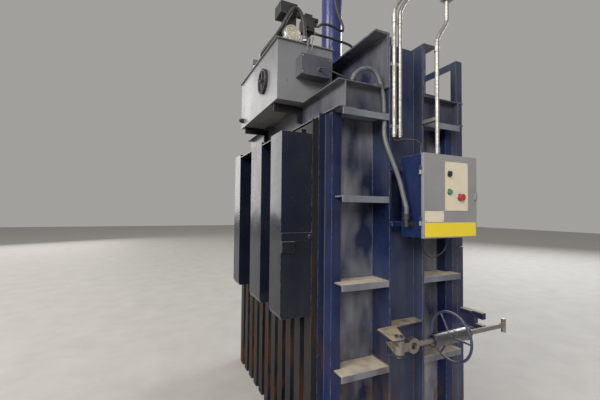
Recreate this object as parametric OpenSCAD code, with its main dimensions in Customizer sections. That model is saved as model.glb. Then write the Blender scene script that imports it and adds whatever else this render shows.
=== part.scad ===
// Vertical downstroke recycling baler with a rear power unit on an overhanging oil tank.
// +X is the front, where the bale door and feed gate are. The side walls face -Y and +Y.
// The origin is on the floor, under the middle of the main uprights.

/* [Body] */
// Centre line to the front edges of the side stiffeners
half_width = 955; // [900:5:1050]
// Depth of the side pockets, from stiffener edge to wall plate
side_depth = 165; // [140:5:200]
// Thickness of wall plates and stiffener plates
plate_t = 8; // [5:1:12]
// Height of the chamber floor
floor_height = 107; // [95:1:140]
// Height between one side stiffener and the next
stiffener_pitch = 508; // [460:1:540]
// Height of a stiffener's folded front lip
stiffener_lip = 38; // [25:1:60]
// Height of the channel ring on top of the walls
ring_height = 164; // [140:1:200]
// Flange width of the ring channels, web included
ring_flange = 53; // [45:1:65]
// Height of the two crosshead channels
crosshead_height = 347; // [300:1:380]
// Reach of the crosshead flanges past the web
crosshead_flange = 93; // [70:1:105]

/* [Uprights and corners] */
// Depth of the main upright along X
upright_depth = 284; // [250:2:300]
// Thickness of an upright flange
upright_flange_t = 15; // [10:1:20]
// Thickness of an upright web
upright_web_t = 10; // [8:1:14]
// How far the upright ends below the crosshead top
upright_drop = 25; // [10:1:60]
// Outer face of the corner tubes, from the middle along X
corner_reach = 497; // [480:1:520]
// Width of a corner tube along X
corner_tube_w = 64; // [50:1:75]
// Depth of a corner tube along Y
corner_tube_d = 78; // [60:1:90]
// Outer face of the rear wall, from the middle along X
rear_reach = 545; // [540:1:570]

/* [Rear wall] */
// Spacing of the rear channels and of the wire slots between them
rear_channel_pitch = 148; // [140:1:152]
// Width of the slot left between two rear channels
wire_slot = 28; // [20:1:36]
// Width of a rear channel's outer face
rear_channel_face = 80; // [60:1:90]
// Depth of a rear channel
rear_channel_depth = 42; // [30:1:60]
// Height of the top of the rear channels
rear_channel_top = 2070; // [2040:1:2090]
// Lowest point of the rear guard boxes
guard_bottom = 917; // [850:1:1000]
// Highest point of the rear guard boxes
guard_top = 2006; // [1950:1:2030]
// Reach of the rear guard boxes behind the rear channels
guard_depth = 196; // [150:1:230]
// Sheet thickness of the guard boxes
guard_t = 3; // [2:0.5:5]

/* [Press] */
// Outside diameter of the cylinder barrel
barrel_d = 184; // [160:1:200]
// Length of the cylinder barrel above its mounting plate
barrel_length = 1150; // [1080:5:1300]
// Diameter of the piston rod
rod_d = 100; // [80:1:110]
// Height of the platen's underside when it is raised
platen_bottom = 1965; // [1960:1:1975]
// Height of the platen
platen_height = 150; // [120:1:160]
// Gap between the platen shoes and the side walls
platen_gap = 4; // [2:1:8]

/* [Door and gate] */
// Height of the top of the bale door
door_top = 1290; // [1200:1:1320]
// Thickness of the bale door frame
door_t = 60; // [50:1:70]
// Running gap round the door and the gate
door_gap = 3; // [2:0.5:6]
// Height of the feed gate
gate_height = 650; // [560:1:660]
// How far the feed gate lifts
gate_lift = 640; // [500:10:650]

/* [Power unit] */
// Length of the oil tank across the machine
tank_length = 944; // [800:2:1000]
// Width of the oil tank along X
tank_width = 431; // [380:1:440]
// Height of the oil tank
tank_height = 418; // [360:1:440]
// Wall thickness of the oil tank
tank_wall = 4; // [3:1:6]
// Diameter of the electric motor
motor_d = 134; // [120:1:140]
// Length of the electric motor's body
motor_length = 300; // [260:1:320]

/* [Controls and latch] */
// Width of the control box
box_width = 430; // [380:1:440]
// Height of the control box
box_height = 481; // [440:1:500]
// Depth of the control box body
box_depth = 160; // [140:1:170]
// Diameter of the flexible conduit
flex_d = 28; // [24:1:32]
// Diameter of the rigid conduits
conduit_d = 26; // [20:1:28]
// Outside diameter of the latch handwheel
wheel_d = 300; // [260:2:306]
// Diameter of the latch rod
latch_rod_d = 28; // [24:1:32]
// Height of the latch axis
latch_z = 796; // [780:1:810]
// Distance of the latch axis outside the stiffener edges
latch_reach = 160; // [150:1:170]

/* [Hidden] */
$fn = 48;

// Colours as the machine shows them.
navy = [0.07, 0.11, 0.27];
navy_lit = [0.12, 0.2, 0.45];
grey_paint = [0.38, 0.4, 0.44];
bare_steel = [0.5, 0.48, 0.45];
hose_black = [0.09, 0.09, 0.1];
hose_grey = [0.35, 0.38, 0.43];
conduit_white = [0.82, 0.79, 0.7];
cream = [0.86, 0.82, 0.7];

// Heights and planes that several pieces share.
wall_face = half_width - side_depth;
chamber_half = wall_face - plate_t;
ring_bottom = floor_height + 4 * stiffener_pitch;
ring_top = ring_bottom + ring_height;
crosshead_top = ring_top + crosshead_height;
upright_top = crosshead_top - upright_drop;
upright_half = upright_depth / 2;
web_face = half_width - side_depth / 2 + upright_web_t / 2;
corner_inner = corner_reach - corner_tube_w;
corner_front = wall_face + corner_tube_d;
flat_t = 6;
// Rear channels on each side of the middle one, with the wire slots spread between them.
rear_edge_gap = 9;
rear_side = floor((wall_face - rear_edge_gap - rear_channel_face / 2) / rear_channel_pitch);
rear_centres = [for (i = [-rear_side:rear_side]) i * rear_channel_pitch];
rear_slots = [for (i = [-rear_side:rear_side - 1]) (i + 0.5) * rear_channel_pitch];
outer_slot = rear_side - 0.5;
mid_slot = floor(rear_side / 2) + 0.5;
wire_slots = [-outer_slot, -mid_slot, -0.5, 0.5, mid_slot, outer_slot] * rear_channel_pitch;
ring_web_x = corner_inner + 22;
ring_side_flange = 57;
channel_back = rear_reach + rear_channel_depth;
mount_z = ring_top + 100;
cap_z = mount_z + barrel_length;
platen_top = platen_bottom + platen_height;
lid_top = ring_top + tank_height + flat_t;
box_left = -67;
box_bottom = 1394;
box_top = box_bottom + box_height;
box_back = -half_width - 25;
box_front = box_back - box_depth;

// Guard boxes: near edge and width along Y, counted from the -Y side.
guard_near = [-half_width + 171, 185];
guard_middle = [-half_width + 547, 240];
guard_far = [-half_width + 1113, 180];

// Draws its children on the -Y side and mirrored on the +Y side.
module both_sides() {
    children();
    mirror([0, 1, 0]) children();
}

// Box given by its two opposite corners.
module block(low, high) {
    translate(low) cube(high - low);
}

// Cylinder along X from x0 to x1.
module rod_x(x0, x1, y, z, d) {
    translate([x0, y, z]) rotate([0, 90, 0]) cylinder(d = d, h = x1 - x0);
}

// Cylinder along Y from y0 to y1.
module rod_y(x, y0, y1, z, d) {
    translate([x, y0, z]) rotate([-90, 0, 0]) cylinder(d = d, h = y1 - y0);
}

// Cylinder along Z from z0 to z1.
module rod_z(x, y, z0, z1, d) {
    translate([x, y, z0]) cylinder(d = d, h = z1 - z0);
}

// Channel section: web along the first axis at 0, flanges reaching along the second axis.
module channel_section(height, flange, web_t, flange_t) {
    polygon([
        [0, 0], [flange, 0], [flange, flange_t * 0.8], [web_t, flange_t],
        [web_t, height - flange_t], [flange, height - flange_t * 0.8], [flange, height], [0, height]
    ]);
}

// Points of a smooth curve through hand chosen points, by the Catmull-Rom rule.
function curve_point(p0, p1, p2, p3, t) =
    0.5 * (2 * p1 + (p2 - p0) * t + (2 * p0 - 5 * p1 + 4 * p2 - p3) * t * t
    + (3 * p1 - p0 - 3 * p2 + p3) * t * t * t);
function curve(points, steps) = [
    for (i = [0:len(points) - 2])
        for (s = [0:steps - (i == len(points) - 2 ? 0 : 1)])
            curve_point(
                points[max(i - 1, 0)], points[i], points[i + 1],
                points[min(i + 2, len(points) - 1)], s / steps
            )
];
// Curve between two short straight leads, so that its ends lie flat on their fittings.
function fitted(points, steps) = concat(
    [points[0]],
    curve([for (i = [1:len(points) - 2]) points[i]], steps),
    [points[len(points) - 1]]
);
function unit(v) = v / norm(v);
function heading(path, i) =
    unit(path[min(i + 1, len(path) - 1)] - path[max(i - 1, 0)]);
// Side direction of each ring, carried along the path so that the tube never twists.
function carried(path, i) =
    i == 0
    ? unit(cross(heading(path, 0), abs(heading(path, 0)[2]) > 0.9 ? [1, 0, 0] : [0, 0, 1]))
    : let (d = heading(path, i), s = carried(path, i - 1)) unit(s - d * (s * d));

// Round tube swept along a path as one closed solid.
module swept_tube(path, d, sides) {
    ring_count = len(path);
    points = [
        for (i = [0:ring_count - 1])
            let (dir = heading(path, i), side = carried(path, i), up = cross(dir, side))
            for (k = [0:sides - 1])
                path[i] + d / 2 * (cos(360 * k / sides) * side + sin(360 * k / sides) * up)
    ];
    walls = [
        for (i = [0:ring_count - 2])
            for (k = [0:sides - 1])
                let (n = (k + 1) % sides)
                [i * sides + n, i * sides + k, (i + 1) * sides + k, (i + 1) * sides + n]
    ];
    start_cap = [[for (k = [0:sides - 1]) k]];
    end_cap = [[for (k = [0:sides - 1]) ring_count * sides - 1 - k]];
    polyhedron(points = points, faces = concat(walls, start_cap, end_cap));
}

// Channels on the floor at the front and rear, with cross members between them.
anchor_x = 370;
anchor_y = half_width + 45;
module base_frame() {
    color(navy) {
        rail_h = floor_height - plate_t;
        for (x = [-1, 1])
            translate([x > 0 ? rear_reach : -rear_reach + plate_t, -chamber_half, 0])
                rotate([-90, 0, 0])
                    mirror([x > 0 ? 1 : 0, 0, 0])
                        mirror([0, 1, 0])
                            linear_extrude(2 * chamber_half)
                                channel_section(rail_h, 50, plate_t, plate_t);
        for (y = wire_slots)
            for (s = [-1, 1])
                block(
                    [-rear_reach + plate_t + 50, y + s * 50 - 5, 0],
                    [rear_reach - 50, y + s * 50 + 5, rail_h]
                );
        block([-rear_reach + plate_t + 50, -20, 0], [rear_reach - 50, 20, 8]);
        // Anchor lugs that reach out from the wall plates past the stiffeners.
        both_sides()
            for (x = [-anchor_x, anchor_x])
                difference() {
                    block([x - 45, -anchor_y - 40, 0], [x + 45, -wall_face, 12]);
                    rod_z(x, -anchor_y, -1, 13, 22);
                }
    }
}

// Chamber floor: plates with open wire slots between them.
module floor_plates() {
    color(bare_steel)
        for (i = [0:6]) {
            left = i == 0 ? -chamber_half : wire_slots[i - 1] + wire_slot / 2;
            right = i == 6 ? chamber_half : wire_slots[i] - wire_slot / 2;
            block(
                [-rear_reach + plate_t, left, floor_height - plate_t],
                [rear_reach - plate_t, right, floor_height]
            );
        }
}

// Flat wall plate on the -Y side.
module side_wall() {
    block([-rear_reach, -wall_face, 0], [corner_reach, -chamber_half, ring_bottom]);
}
module side_wall_left() {
    color(navy_lit) side_wall();
}
module side_wall_right() {
    color(navy_lit) mirror([0, 1, 0]) side_wall();
}

// Room for the flexible conduit beside the upright: a hole, and notches in the ring's top
// and in the lower flange of the rear crosshead channel.
stiffener_pass = [-upright_half - 20, -half_width + 27];
crosshead_pass = [-upright_half - 37, -half_width + 34];
module flex_passage() {
    rod_z(stiffener_pass[0], stiffener_pass[1], ring_bottom - 9, ring_top - 9, flex_d + 8);
    hull()
        for (y = [crosshead_pass[1], -half_width - 30])
            rod_z(crosshead_pass[0], y, ring_top - 1, ring_top + upright_flange_t + 1, flex_d + 10);
    block(
        [-upright_half - 63, -half_width - 1, ring_top - plate_t - 1],
        [-upright_half + 1, -half_width + ring_side_flange - plate_t, ring_top + 1]
    );
}

// Angle stiffener: a shelf with a folded lip, notched round the corner tube.
module stiffener(level) {
    top = floor_height + level * stiffener_pitch;
    outer = corner_reach - 22;
    difference() {
        union() {
            block([-outer, -half_width, top - plate_t], [-upright_half, -wall_face, top]);
            block(
                [-outer, -half_width, top - stiffener_lip],
                [-upright_half, -half_width + plate_t, top]
            );
        }
        block(
            [-corner_reach, -corner_front, top - plate_t - 1],
            [-corner_inner, -wall_face + 1, top + 1]
        );
    }
}
module side_stiffeners() {
    color(navy_lit)
        difference() {
            both_sides()
                for (level = [1:4]) {
                    stiffener(level);
                    mirror([1, 0, 0]) stiffener(level);
                }
            flex_passage();
        }
}

// Main upright: wide flange beam with its web facing the side.
module upright() {
    mid = -half_width + side_depth / 2;
    difference() {
        union() {
            for (x = [-1, 1])
                block(
                    [x * (upright_half - upright_flange_t / 2) - upright_flange_t / 2, -half_width, 0],
                    [x * (upright_half - upright_flange_t / 2) + upright_flange_t / 2, -wall_face,
                        upright_top]
                );
            block(
                [-upright_half + upright_flange_t, mid - upright_web_t / 2, 0],
                [upright_half - upright_flange_t, mid + upright_web_t / 2, upright_top]
            );
        }
        rod_y(24, mid - 20, mid + 20, upright_top - 78, 25);
    }
}
module upright_left() {
    color(navy) upright();
}
module upright_right() {
    color(navy) mirror([0, 1, 0]) upright();
}

// Corner posts: square tubes that stand on the floor outside the wall plate.
module corner_posts() {
    color(navy_lit)
        both_sides()
            for (x = [-1, 1])
                difference() {
                    block(
                        [x > 0 ? corner_inner : -corner_reach, -corner_front, 0],
                        [x > 0 ? corner_reach : -corner_inner, -wall_face, ring_bottom]
                    );
                    block(
                        [(x > 0 ? corner_inner : -corner_reach) + 6, -corner_front + 6, -1],
                        [(x > 0 ? corner_reach : -corner_inner) - 6, -wall_face - 6, ring_bottom + 1]
                    );
                }
}

// Bars that close the rear corners of the walls.
module corner_bars() {
    color(navy)
        both_sides()
            block([-channel_back, -wall_face, 0], [-rear_reach, -wall_face + flat_t, ring_bottom - 40]);
}

// Front jambs: tubes at the door side of each wall.
module front_jambs() {
    color(navy)
        both_sides()
            difference() {
                block([corner_reach, -corner_front, 0], [rear_reach, -chamber_half, ring_bottom]);
                block(
                    [corner_reach + 6, -corner_front + 6, -1],
                    [rear_reach - 6, -chamber_half - 6, ring_bottom + 1]
                );
            }
}

// Rear wall plate with upright wire slots between the channels.
module rear_wall() {
    color(navy)
        difference() {
            block(
                [-rear_reach, -chamber_half, 0],
                [-rear_reach + plate_t, chamber_half, rear_channel_top + 30]
            );
            for (y = rear_slots)
                block(
                    [-rear_reach - 1, y - wire_slot / 2, floor_height],
                    [-rear_reach + plate_t + 1, y + wire_slot / 2, rear_channel_top - 30]
                );
        }
}

// Rear channels: folded channels with their open side on the wall plate.
module rear_channels() {
    half = rear_channel_face / 2;
    color(navy)
        for (y = rear_centres)
            difference() {
                block([-channel_back, y - half, 0], [-rear_reach, y + half, rear_channel_top]);
                block(
                    [-channel_back + 5, y - half + 5, -1],
                    [-rear_reach + 1, y + half - 5, rear_channel_top + 1]
                );
            }
}

// Guard box: folded sheet, open to the wall, with its bottom edge folded in.
module guard_box(place) {
    fold = 24;
    near = place[0];
    width = place[1];
    back = -channel_back - guard_depth;
    color(navy_lit)
        difference() {
            translate([0, near, 0])
                rotate([-90, 0, 0])
                    mirror([0, 1, 0])
                        linear_extrude(width)
                            polygon([
                                [back + fold * 0.4, guard_bottom], [back, guard_bottom + fold],
                                [back, guard_top], [-channel_back, guard_top],
                                [-channel_back, guard_bottom]
                            ]);
            block(
                [back + guard_t, near + guard_t, guard_bottom + fold],
                [-channel_back + 1, near + width - guard_t, guard_top - guard_t]
            );
        }
}
module guard_box_near() {
    guard_box(guard_near);
}
module guard_box_middle() {
    guard_box(guard_middle);
}
module guard_box_far() {
    guard_box(guard_far);
}

// Header plates between the tops of the guard boxes.
module guard_header() {
    color(navy)
        for (gap = [[guard_near, guard_middle], [guard_middle, guard_far]])
            block(
                [-channel_back - guard_depth, gap[0][0] + gap[0][1], guard_top - 26],
                [-channel_back, gap[1][0], guard_top - 20]
            );
}

// Flat strap on the near guard box with its bolt, and the lift block under it.
module guard_strap() {
    face = guard_near[0];
    back = -channel_back - guard_depth;
    color(navy_lit) {
        block([back, face - flat_t, 1363], [-channel_back, face, 1412]);
        rod_y(-channel_back - 14, face - 16, face - flat_t, 1388, 22);
        block([back, face - 22, 1301], [back + 80, face, 1362]);
    }
}

// Ring of channels on top of the walls: long ones behind and in front, short ones between.
module ring_ends() {
    color(navy_lit)
        for (x = [-1, 1])
            mirror([x > 0 ? 1 : 0, 0, 0])
                translate([-ring_web_x, half_width, ring_bottom])
                    rotate([90, 0, 0])
                        linear_extrude(2 * half_width)
                            mirror([1, 0])
                                channel_section(ring_height, ring_flange, plate_t, plate_t);
}
module ring_sides() {
    color(navy)
        difference() {
            both_sides()
                for (x = [-ring_web_x, upright_half])
                    translate([x, -half_width + ring_side_flange, ring_bottom])
                        rotate([90, 0, 90])
                            linear_extrude(ring_web_x - upright_half)
                                mirror([1, 0])
                                    channel_section(ring_height, ring_side_flange, plate_t, plate_t);
            flex_passage();
        }
}

// Crosshead: two deep channels in front of and behind the uprights.
module crosshead_channel() {
    translate([-upright_half, half_width, ring_top])
        rotate([90, 0, 0])
            linear_extrude(2 * half_width)
                mirror([1, 0])
                    channel_section(crosshead_height, crosshead_flange + upright_flange_t,
                        upright_flange_t, upright_flange_t);
}
module crosshead_rear() {
    color(navy)
        difference() {
            crosshead_channel();
            flex_passage();
        }
}
module crosshead_front() {
    color(navy) mirror([1, 0, 0]) crosshead_channel();
}

// Cylinder mount: two bored plates between the crosshead webs, with side gussets.
module cylinder_mount() {
    color(navy)
        difference() {
            union() {
                block([-upright_half, -210, mount_z], [upright_half, 210, mount_z + 25]);
                block([-upright_half, -210, crosshead_top - 60], [upright_half, 210, crosshead_top - 48]);
                for (y = [-210, 198])
                    block([-upright_half, y, mount_z + 25], [upright_half, y + 12, crosshead_top - 60]);
            }
            rod_z(0, 0, mount_z - 1, crosshead_top, barrel_d + 0.6);
            // Notch for the return hose.
            rod_z(0, -196, crosshead_top - 61, crosshead_top, 60);
        }
}

// Cylinder barrel with its lower flange, gland, ports and bore.
barrel_bore = barrel_d - 26;
port_y = -barrel_d / 2 - 22;
module cylinder_barrel() {
    color(navy_lit)
        difference() {
            union() {
                rod_z(0, 0, mount_z, cap_z, barrel_d);
                rod_z(0, 0, mount_z - 30, mount_z, 262);
                rod_z(0, 0, mount_z - 60, mount_z - 30, rod_d + 60);
                for (z = [mount_z + 60, cap_z - 60])
                    rod_y(0, port_y, 0, z, 44);
            }
            rod_z(0, 0, mount_z - 61, mount_z + 1, rod_d + 0.2);
            rod_z(0, 0, mount_z, cap_z + 1, barrel_bore);
        }
}
module cylinder_cap() {
    color(navy) {
        rod_z(0, 0, cap_z, cap_z + 40, barrel_d + 14);
        difference() {
            block([-22, -8, cap_z + 40], [22, 8, cap_z + 92]);
            rod_y(0, -9, 9, cap_z + 68, 22);
        }
    }
}

// Piston rod with its piston and the flange that bolts to the platen.
module piston_rod() {
    color([0.62, 0.63, 0.65]) {
        rod_z(0, 0, platen_top + 22, cap_z - 80, rod_d);
        rod_z(0, 0, cap_z - 80, cap_z - 20, barrel_bore - 0.2);
        difference() {
            rod_z(0, 0, platen_top, platen_top + 22, 230);
            for (a = [45:90:315])
                rotate([0, 0, a]) rod_z(88, 0, platen_top - 1, platen_top + 23, 18);
        }
        for (a = [45:90:315])
            rotate([0, 0, a]) rod_z(88, 0, platen_top + 22, platen_top + 34, 28);
    }
}

// Platen: a grooved plate under long ribs, with a solid middle that takes the rod.
platen_half_y = chamber_half - platen_gap - 20;
platen_half_x = rear_reach - plate_t - 14;
module platen() {
    face_t = 18;
    groove = 8;
    rib_t = 10;
    middle = 130;
    color(navy) {
        difference() {
            block(
                [-platen_half_x, -platen_half_y, platen_bottom],
                [platen_half_x, platen_half_y, platen_bottom + face_t]
            );
            for (y = wire_slots)
                block(
                    [-platen_half_x - 1, y - wire_slot / 2, platen_bottom - 1],
                    [platen_half_x + 1, y + wire_slot / 2, platen_bottom + groove]
                );
        }
        for (x = [-platen_half_x, -330, -middle, middle - rib_t, 320, platen_half_x - rib_t])
            block(
                [x, -platen_half_y, platen_bottom + face_t],
                [x + rib_t, platen_half_y, platen_top]
            );
        for (y = [-platen_half_y, platen_half_y - rib_t])
            block(
                [-platen_half_x, y, platen_bottom + face_t],
                [platen_half_x, y + rib_t, platen_top]
            );
        block([-middle, -middle, platen_bottom + face_t], [middle, middle, platen_top]);
    }
}
module platen_shoes() {
    color([0.75, 0.74, 0.7])
        both_sides()
            for (x = [-380, 260])
                block(
                    [x, -platen_half_y - 20, platen_bottom + 10],
                    [x + 120, -platen_half_y, platen_top - 10]
                );
}

// Oil tank on the rear ring, held by two angle arms.
tank_right = -upright_half - upright_flange_t - crosshead_flange - 19;
tank_left = tank_right - tank_width;
tank_top = ring_top + tank_height;
module tank() {
    color(grey_paint)
        difference() {
            block([tank_left, -tank_length / 2, ring_top], [tank_right, tank_length / 2, tank_top]);
            block(
                [tank_left + tank_wall, -tank_length / 2 + tank_wall, ring_top + tank_wall],
                [tank_right - tank_wall, tank_length / 2 - tank_wall, tank_top + 1]
            );
            rod_x(tank_left - 1, tank_left + tank_wall + 1, cover_y, cover_z, 150);
        }
}
module tank_lid() {
    color(grey_paint)
        block(
            [tank_left - 14, -tank_length / 2 - 14, tank_top],
            [tank_right + 6, tank_length / 2 + 14, tank_top + flat_t]
        );
}
module tank_skid() {
    ring_back = -ring_web_x - ring_flange;
    color(navy)
        for (y = [-tank_length / 2 + 92, tank_length / 2 - 100]) {
            block([tank_left + 12, y, ring_top - 60], [ring_back, y + 8, ring_top]);
            block([tank_left + 12, y, ring_top - 8], [ring_back, y + 50, ring_top]);
            block(
                [ring_back, y, ring_bottom + 40],
                [-ring_web_x - plate_t, y + 8, ring_top - plate_t]
            );
        }
}

// Round inspection cover on the tank's rear face.
cover_y = -188;
cover_z = 2517;
module inspection_cover() {
    color([0.12, 0.13, 0.16]) {
        difference() {
            rod_x(tank_left - 16, tank_left, cover_y, cover_z, 184);
            rod_x(tank_left - 17, tank_left - 10, cover_y, cover_z, 148);
        }
        rod_x(tank_left - 20, tank_left - 10, cover_y, cover_z, 26);
        for (a = [0:60:300])
            translate([tank_left - 20, cover_y, cover_z])
                rotate([a, 0, 0])
                    translate([0, 0, 83])
                        rotate([0, 90, 0])
                            cylinder(d = 12, h = 4);
    }
}
module drain_plug() {
    color([0.15, 0.15, 0.17]) {
        rod_x(tank_left - 26, tank_left, tank_length / 2 - 74, ring_top + 59, 44);
        rod_x(tank_left - 40, tank_left - 26, tank_length / 2 - 74, ring_top + 59, 26);
    }
}

// Electric motor lying across the lid, with its feet and terminal box.
motor_x = tank_left + 128;
motor_z = lid_top + motor_d / 2 + 4;
motor_y = -tank_length / 2 + 70;
module motor() {
    color(grey_paint) {
        difference() {
            rod_y(motor_x, motor_y, motor_y + motor_length, motor_z, motor_d);
            for (a = [-150:20:150])
                translate([motor_x, motor_y + 24, motor_z])
                    rotate([0, a, 0])
                        translate([-2, 0, motor_d / 2 - 7])
                            cube([4, motor_length - 48, 10]);
        }
        for (y = [motor_y + 40, motor_y + motor_length - 80])
            block([motor_x - 62, y, lid_top], [motor_x + 62, y + 40, motor_z - motor_d / 2 + 12]);
        block(
            [motor_x - 40, motor_y, motor_z + motor_d / 2 - 14],
            [motor_x + 40, motor_y + 90, motor_z + motor_d / 2 + 80]
        );
        block(
            [motor_x - 88, motor_y - 18, motor_z + motor_d / 2 + 80],
            [motor_x + 42, motor_y + 102, motor_z + motor_d / 2 + 165]
        );
    }
}
module fan_cover() {
    color(cream)
        difference() {
            union() {
                rod_y(motor_x, motor_y - 30, motor_y, motor_z, motor_d);
                rod_y(motor_x, motor_y - 40, motor_y - 30, motor_z, motor_d - 18);
            }
            for (i = [-4:4])
                block(
                    [motor_x + i * 13 - 2.5, motor_y - 41, motor_z - sqrt(2600 - pow(i * 11, 2))],
                    [motor_x + i * 13 + 2.5, motor_y - 36, motor_z + sqrt(2600 - pow(i * 11, 2))]
                );
        }
}

// Bell housing, gear pump and its suction port.
pump_y = motor_y + motor_length + 118;
module pump() {
    start = motor_y + motor_length;
    color(bare_steel) {
        rod_y(motor_x, start, start + 70, motor_z, motor_d - 30);
        block([motor_x - 45, start + 70, motor_z - 55], [motor_x + 45, start + 165, motor_z + 55]);
        block([motor_x - 30, start + 90, lid_top], [motor_x + 30, start + 150, motor_z - 55]);
        rod_x(motor_x - 68, motor_x - 45, pump_y, motor_z, 40);
    }
}

// Directional valve on a manifold, carried by a post from the lid.
valve_x = tank_left + 350;
valve_y = -tank_length / 2 + 262;
valve_z = lid_top + 240;
hose_in = [valve_x + 62, valve_y - 20, valve_z + 70];
hose_out = [valve_x + 62, valve_y + 20, valve_z + 26];
module valve_block() {
    color([0.3, 0.31, 0.33]) {
        block([valve_x - 40, valve_y - 40, lid_top], [valve_x + 40, valve_y + 40, lid_top + 10]);
        block([valve_x - 18, valve_y - 6, lid_top + 10], [valve_x + 18, valve_y + 6, valve_z]);
        block([valve_x - 50, valve_y - 45, valve_z], [valve_x + 44, valve_y + 45, valve_z + 96]);
        block([valve_x - 32, valve_y - 30, valve_z + 96], [valve_x + 32, valve_y + 30, valve_z + 142]);
        for (x = [valve_x - 92, valve_x + 32])
            rod_x(x, x + 60, valve_y, valve_z + 120, 38);
        for (port = [hose_in, hose_out])
            rod_x(valve_x + 44, port[0], port[1], port[2], 32);
        rod_y(valve_x - 22, valve_y - 62, valve_y - 45, valve_z + 30, 24);
    }
}

// Return filter and filler at the far end of the lid.
module return_filter() {
    x = tank_left + 90;
    y = tank_length / 2 - 150;
    color([0.45, 0.46, 0.47]) {
        rod_z(x, y, lid_top, lid_top + 18, 110);
        rod_z(x, y, lid_top + 18, lid_top + 130, 84);
        block([x - 42, y - 42, lid_top + 130], [x + 42, y + 42, lid_top + 176]);
        rod_z(x + 150, y, lid_top, lid_top + 40, 60);
        rod_z(x + 150, y, lid_top + 40, lid_top + 70, 78);
    }
}

// Electrical junction box on the tank's near face.
jbox_x = tank_left + 137;
jbox_z = ring_top + 165;
jbox_top = jbox_z + 134;
module junction_box() {
    face = -tank_length / 2;
    color(grey_paint) {
        difference() {
            block([jbox_x, face - 96, jbox_z], [jbox_x + 226, face, jbox_z + 134]);
            block([jbox_x + 3, face - 93, jbox_z + 3], [jbox_x + 223, face - 3, jbox_z + 131]);
        }
        block([jbox_x - 4, face - 102, jbox_z - 4], [jbox_x + 230, face - 96, jbox_z + 138]);
        for (i = [0:2])
            rod_z(jbox_x + 60 + i * 36, face - 60, jbox_z + 134, jbox_z + 152, 20);
        rod_y(jbox_x + 130, face - 118, face - 102, jbox_z + 44, 24);
    }
}

// Hydraulic hoses, each held by a fitting at both ends.
suction_points = [
    [motor_x - 68, pump_y, motor_z], [motor_x - 75, pump_y, motor_z],
    [motor_x - 92, pump_y - 24, motor_z + 6], [motor_x - 96, pump_y - 90, motor_z + 14],
    [motor_x - 96, motor_y + 200, motor_z + 10], [motor_x - 96, motor_y + 70, motor_z + 2],
    [motor_x - 92, motor_y - 8, motor_z + 8], [motor_x - 78, motor_y - 38, motor_z + 38],
    [motor_x - 51, motor_y - 44, motor_z + 95], [motor_x - 13, motor_y - 44, motor_z + 159],
    [motor_x + 18, motor_y - 44, motor_z + 182], [motor_x + 49, motor_y - 44, motor_z + 165],
    [motor_x + 74, motor_y - 44, motor_z + 113], [motor_x + 84, motor_y - 44, motor_z + 41],
    [motor_x + 88, motor_y - 44, motor_z - 8], [motor_x + 88, motor_y - 44, lid_top + 32],
    [motor_x + 88, motor_y - 44, lid_top + 24]
];
module suction_hose() {
    end = suction_points[len(suction_points) - 1];
    color(hose_grey) {
        swept_tube(fitted(suction_points, 3), 30, 10);
        rod_z(end[0], end[1], lid_top, lid_top + 24, 40);
    }
}
pressure_points = [
    hose_in, hose_in + [8, 0, 0], hose_in + [36, 0, 5], [-228, -236, hose_in[2] + 22],
    [-172, -228, hose_in[2] + 36], [-114, -220, hose_in[2] + 38], [-55, -210, hose_in[2] + 33],
    [-16, -204, hose_in[2] + 34], [-4, -201, hose_in[2] + 52], [-10, -198, hose_in[2] + 92],
    [-57, -188, hose_in[2] + 208], [-72, -180, hose_in[2] + 300], [-58, -170, cap_z - 130],
    [-20, port_y - 46, cap_z - 76], [0, port_y - 8, cap_z - 60], [0, port_y, cap_z - 60]
];
module pressure_hose() {
    color(hose_black) swept_tube(fitted(pressure_points, 3), 20, 8);
}
return_points = [
    hose_out, hose_out + [8, 0, 0], hose_out + [36, -2, -3], [-228, -200, hose_out[2] - 9],
    [-133, -206, hose_out[2] - 12], [-35, -208, hose_out[2] - 19], [50, -208, hose_out[2] - 29],
    [92, -210, hose_out[2] - 53], [108, -214, hose_out[2] - 97], [104, -214, hose_out[2] - 163],
    [74, -208, crosshead_top + 100], [28, -194, crosshead_top + 30],
    [2, -186, crosshead_top - 20], [0, -183, crosshead_top - 60], [0, -180, mount_z + 140],
    [0, -166, mount_z + 90], [0, port_y - 26, mount_z + 63], [0, port_y - 8, mount_z + 60],
    [0, port_y, mount_z + 60]
];
module return_hose() {
    color(hose_black) swept_tube(fitted(return_points, 3), 20, 8);
}

// Rigid conduits: a pair up the main upright and a single riser on the control box.
conduit_y = -half_width - conduit_d / 2 - 5;
riser_x = box_left + 205;
riser_y = -half_width - 110;
module offset_run(x, y, low, bend, top) {
    swept_tube(
        [
            [x, y, low], [x, y, bend - 24], [x + 3, y, bend], [x + 18, y, bend + 34],
            [x + 66, y, bend + 104], [x + 82, y, bend + 138], [x + 85, y, bend + 164],
            [x + 85, y, top]
        ],
        conduit_d, 12
    );
}
module conduits() {
    color(conduit_white) {
        for (x = [-upright_half + 21, -upright_half + 66])
            offset_run(x, conduit_y, 1997, crosshead_top + 140, crosshead_top + 360);
        block(
            [-upright_half + 86, conduit_y - 24, crosshead_top + 360],
            [-upright_half + 171, conduit_y + 24, crosshead_top + 440]
        );
        offset_run(riser_x, riser_y, box_top, ring_top + 312, crosshead_top + 240);
        block(
            [riser_x + 51, riser_y - 24, crosshead_top + 240],
            [riser_x + 119, riser_y + 24, crosshead_top + 310]
        );
        // Saddles of the pair on the upright, and the stand-off of the riser.
        for (z = [2052, 2440]) {
            block(
                [-upright_half + 3, conduit_y - 2, z],
                [-upright_half + 8, -half_width, z + 22]
            );
            block(
                [-upright_half + 3, conduit_y - 2, z],
                [-upright_half + 82, conduit_y + 2, z + 22]
            );
        }
        block(
            [riser_x - 16, riser_y, ring_bottom - 30],
            [riser_x + 16, -half_width, ring_bottom - 8]
        );
    }
}

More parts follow.
